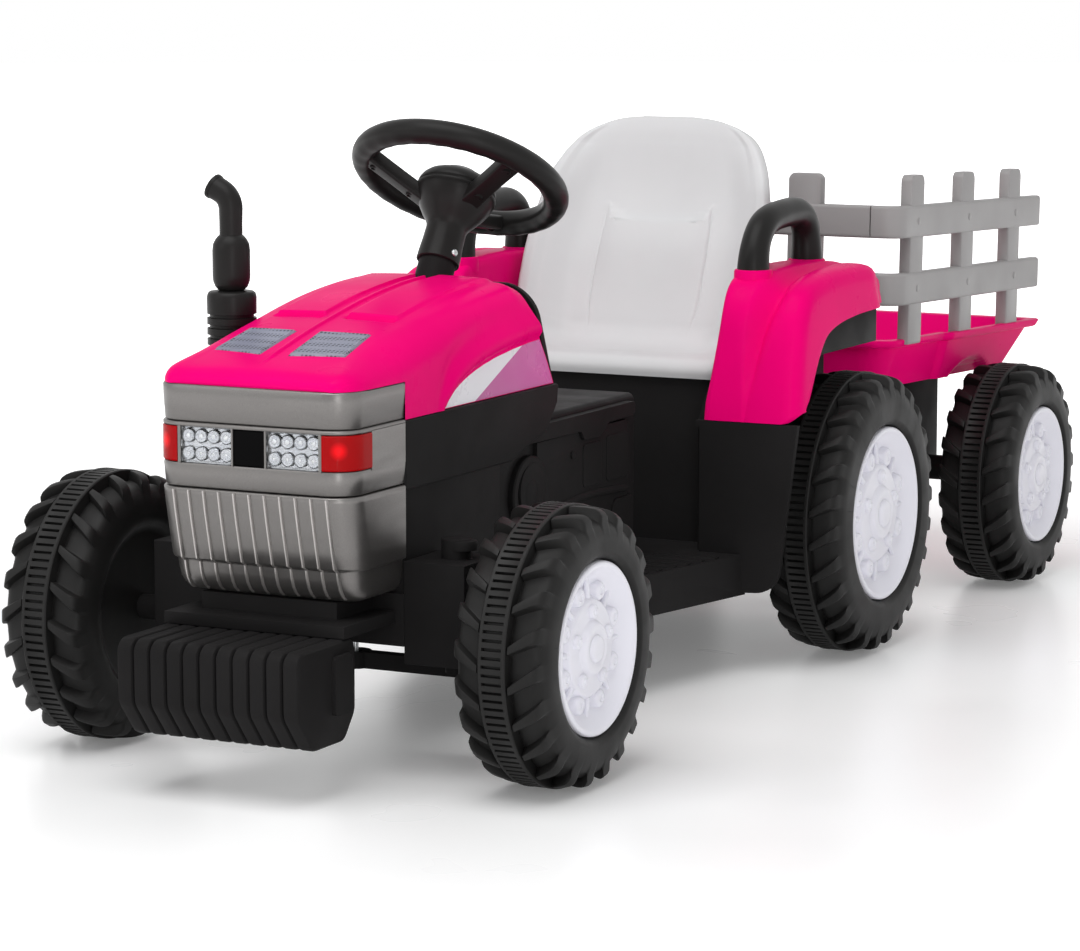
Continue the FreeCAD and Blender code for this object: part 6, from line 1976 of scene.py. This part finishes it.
def area_light(name, place, target, size, power):
    """A soft square lamp aimed at a point."""
    lamp = bpy.data.lights.new(name, "AREA")
    lamp.shape = "RECTANGLE"
    lamp.size = size[0]
    lamp.size_y = size[1]
    lamp.energy = power
    holder = bpy.data.objects.new(name, lamp)
    holder.location = place
    holder.rotation_euler = (Vector(target) - Vector(place)).to_track_quat("-Z", "Y").to_euler()
    bpy.context.scene.collection.objects.link(holder)
    return holder


def white_world(strength):
    """White wherever it is seen, mirrored or looked through at; an even grey light otherwise."""
    world = bpy.data.worlds.new("studio")
    world.use_nodes = True
    nodes = world.node_tree.nodes
    links = world.node_tree.links
    ray = nodes.new("ShaderNodeLightPath")
    seen = ray.outputs["Is Camera Ray"]
    for kind in ("Is Glossy Ray", "Is Transmission Ray"):
        either = nodes.new("ShaderNodeMath")
        either.operation = "MAXIMUM"
        links.new(seen, either.inputs[0])
        links.new(ray.outputs[kind], either.inputs[1])
        seen = either.outputs["Value"]
    level = nodes.new("ShaderNodeMapRange")
    level.inputs["To Min"].default_value = strength
    level.inputs["To Max"].default_value = 1.0
    links.new(seen, level.inputs["Value"])
    links.new(level.outputs["Result"], nodes["Background"].inputs["Strength"])
    nodes["Background"].inputs["Color"].default_value = (1.0, 1.0, 1.0, 1.0)
    return world


# The floor's rings lie just under the wheels, in millimetres.
FLOOR_LEVEL = -0.2
FLOOR_REACHES = (0.5, 800.0, 2000.0, 5000.0, 14000.0)
SENSOR_WIDTH = 36.0
# Shares of the fill power that the side and front lamps have.
SIDE_SHARE, FRONT_SHARE = 0.15, 0.85


class TRACTOR_OT_stage(bpy.types.Operator):
    """Set up the floor, lights, background and camera"""
    bl_idname = "tractor.stage"
    bl_label = "Set the stage"

    def execute(self, context):
        scene = context.scene
        stage = scene.tractor_stage
        floor = Shell()
        rows = [
            [(reach * math.cos(angle), reach * math.sin(angle), FLOOR_LEVEL) for angle in turns(96)]
            for reach in FLOOR_REACHES
        ]
        floor.grid(rows, ring=True)
        mesh = bpy.data.meshes.new("studio_floor")
        mesh.from_pydata([point / METRE for point in floor.points], [], floor.faces)
        ground = bpy.data.objects.new("studio_floor", mesh)
        mesh.materials.append(finish_of("studio_floor"))
        scene.collection.objects.link(ground)
        fill = stage.fill_power
        lamps = [
            area_light("key", (0.0, -1.5, 3.1), (0.0, 0.0, 0.2), (2.8, 2.4), stage.key_power),
            area_light("side", (3.2, -1.6, 1.6), (0.0, 0.0, 0.25), (1.6, 2.2), fill * SIDE_SHARE),
            area_light("left", (-2.2, -3.2, 1.8), (0.0, -0.2, 0.25), (2.0, 1.6), fill),
            area_light("front", (1.75, -2.9, 0.75), (0.0, -0.5, 0.25), (0.35, 1.5), fill * FRONT_SHARE),
        ]
        scene.world = white_world(stage.sky)
        eye = bpy.data.cameras.new("photo_camera")
        eye.lens = stage.lens
        eye.sensor_fit = "HORIZONTAL"
        eye.sensor_width = SENSOR_WIDTH
        eye.dof.use_dof = False
        camera = bpy.data.objects.new("photo_camera", eye)
        turn, tilt = stage.azimuth, stage.elevation
        back = Vector((math.sin(turn) * math.cos(tilt), -math.cos(turn) * math.cos(tilt), math.sin(tilt)))
        right = Vector((math.cos(turn), math.sin(turn), 0.0))
        up = back.cross(right)
        place = Matrix((right, up, back)).transposed().to_4x4()
        place.translation = Vector(stage.camera_place)
        camera.matrix_world = place
        scene.collection.objects.link(camera)
        scene.camera = camera
        scene.view_settings.view_transform = "Standard"
        return {"FINISHED"}


class TRACTOR_PT_panel(bpy.types.Panel):
    """The tractor's settings and steps"""
    bl_idname = "TRACTOR_PT_panel"
    bl_label = "Toy tractor"
    bl_space_type = "VIEW_3D"
    bl_region_type = "UI"
    bl_category = "Tractor"

    def draw(self, context):
        layout = self.layout
        scene = context.scene
        for group in (scene.tractor_sizes, scene.tractor_colours, scene.tractor_stage):
            box = layout.box()
            for name in group.__annotations__:
                box.prop(group, name)
        for operator in STEPS:
            layout.operator(operator.bl_idname)


STEPS = (
    TRACTOR_OT_wheels, TRACTOR_OT_nose, TRACTOR_OT_bonnet, TRACTOR_OT_body, TRACTOR_OT_front,
    TRACTOR_OT_steering, TRACTOR_OT_seat, TRACTOR_OT_fenders, TRACTOR_OT_trailer, TRACTOR_OT_workings,
    TRACTOR_OT_stage,
)
CLASSES = (TractorColours, TractorSizes, TractorStage) + STEPS + (TRACTOR_PT_panel,)


def register():
    for made in CLASSES:
        bpy.utils.register_class(made)
    bpy.types.Scene.tractor_colours = PointerProperty(type=TractorColours)
    bpy.types.Scene.tractor_sizes = PointerProperty(type=TractorSizes)
    bpy.types.Scene.tractor_stage = PointerProperty(type=TractorStage)


def unregister():
    del bpy.types.Scene.tractor_stage
    del bpy.types.Scene.tractor_sizes
    del bpy.types.Scene.tractor_colours
    for made in reversed(CLASSES):
        bpy.utils.unregister_class(made)


def main():
    register()
    bpy.ops.tractor.wheels()
    bpy.ops.tractor.nose()
    bpy.ops.tractor.bonnet()
    bpy.ops.tractor.body()
    bpy.ops.tractor.front()
    bpy.ops.tractor.steering()
    bpy.ops.tractor.seat()
    bpy.ops.tractor.fenders()
    bpy.ops.tractor.trailer()
    bpy.ops.tractor.workings()
    bpy.ops.tractor.stage()


if __name__ == "__main__":
    main()
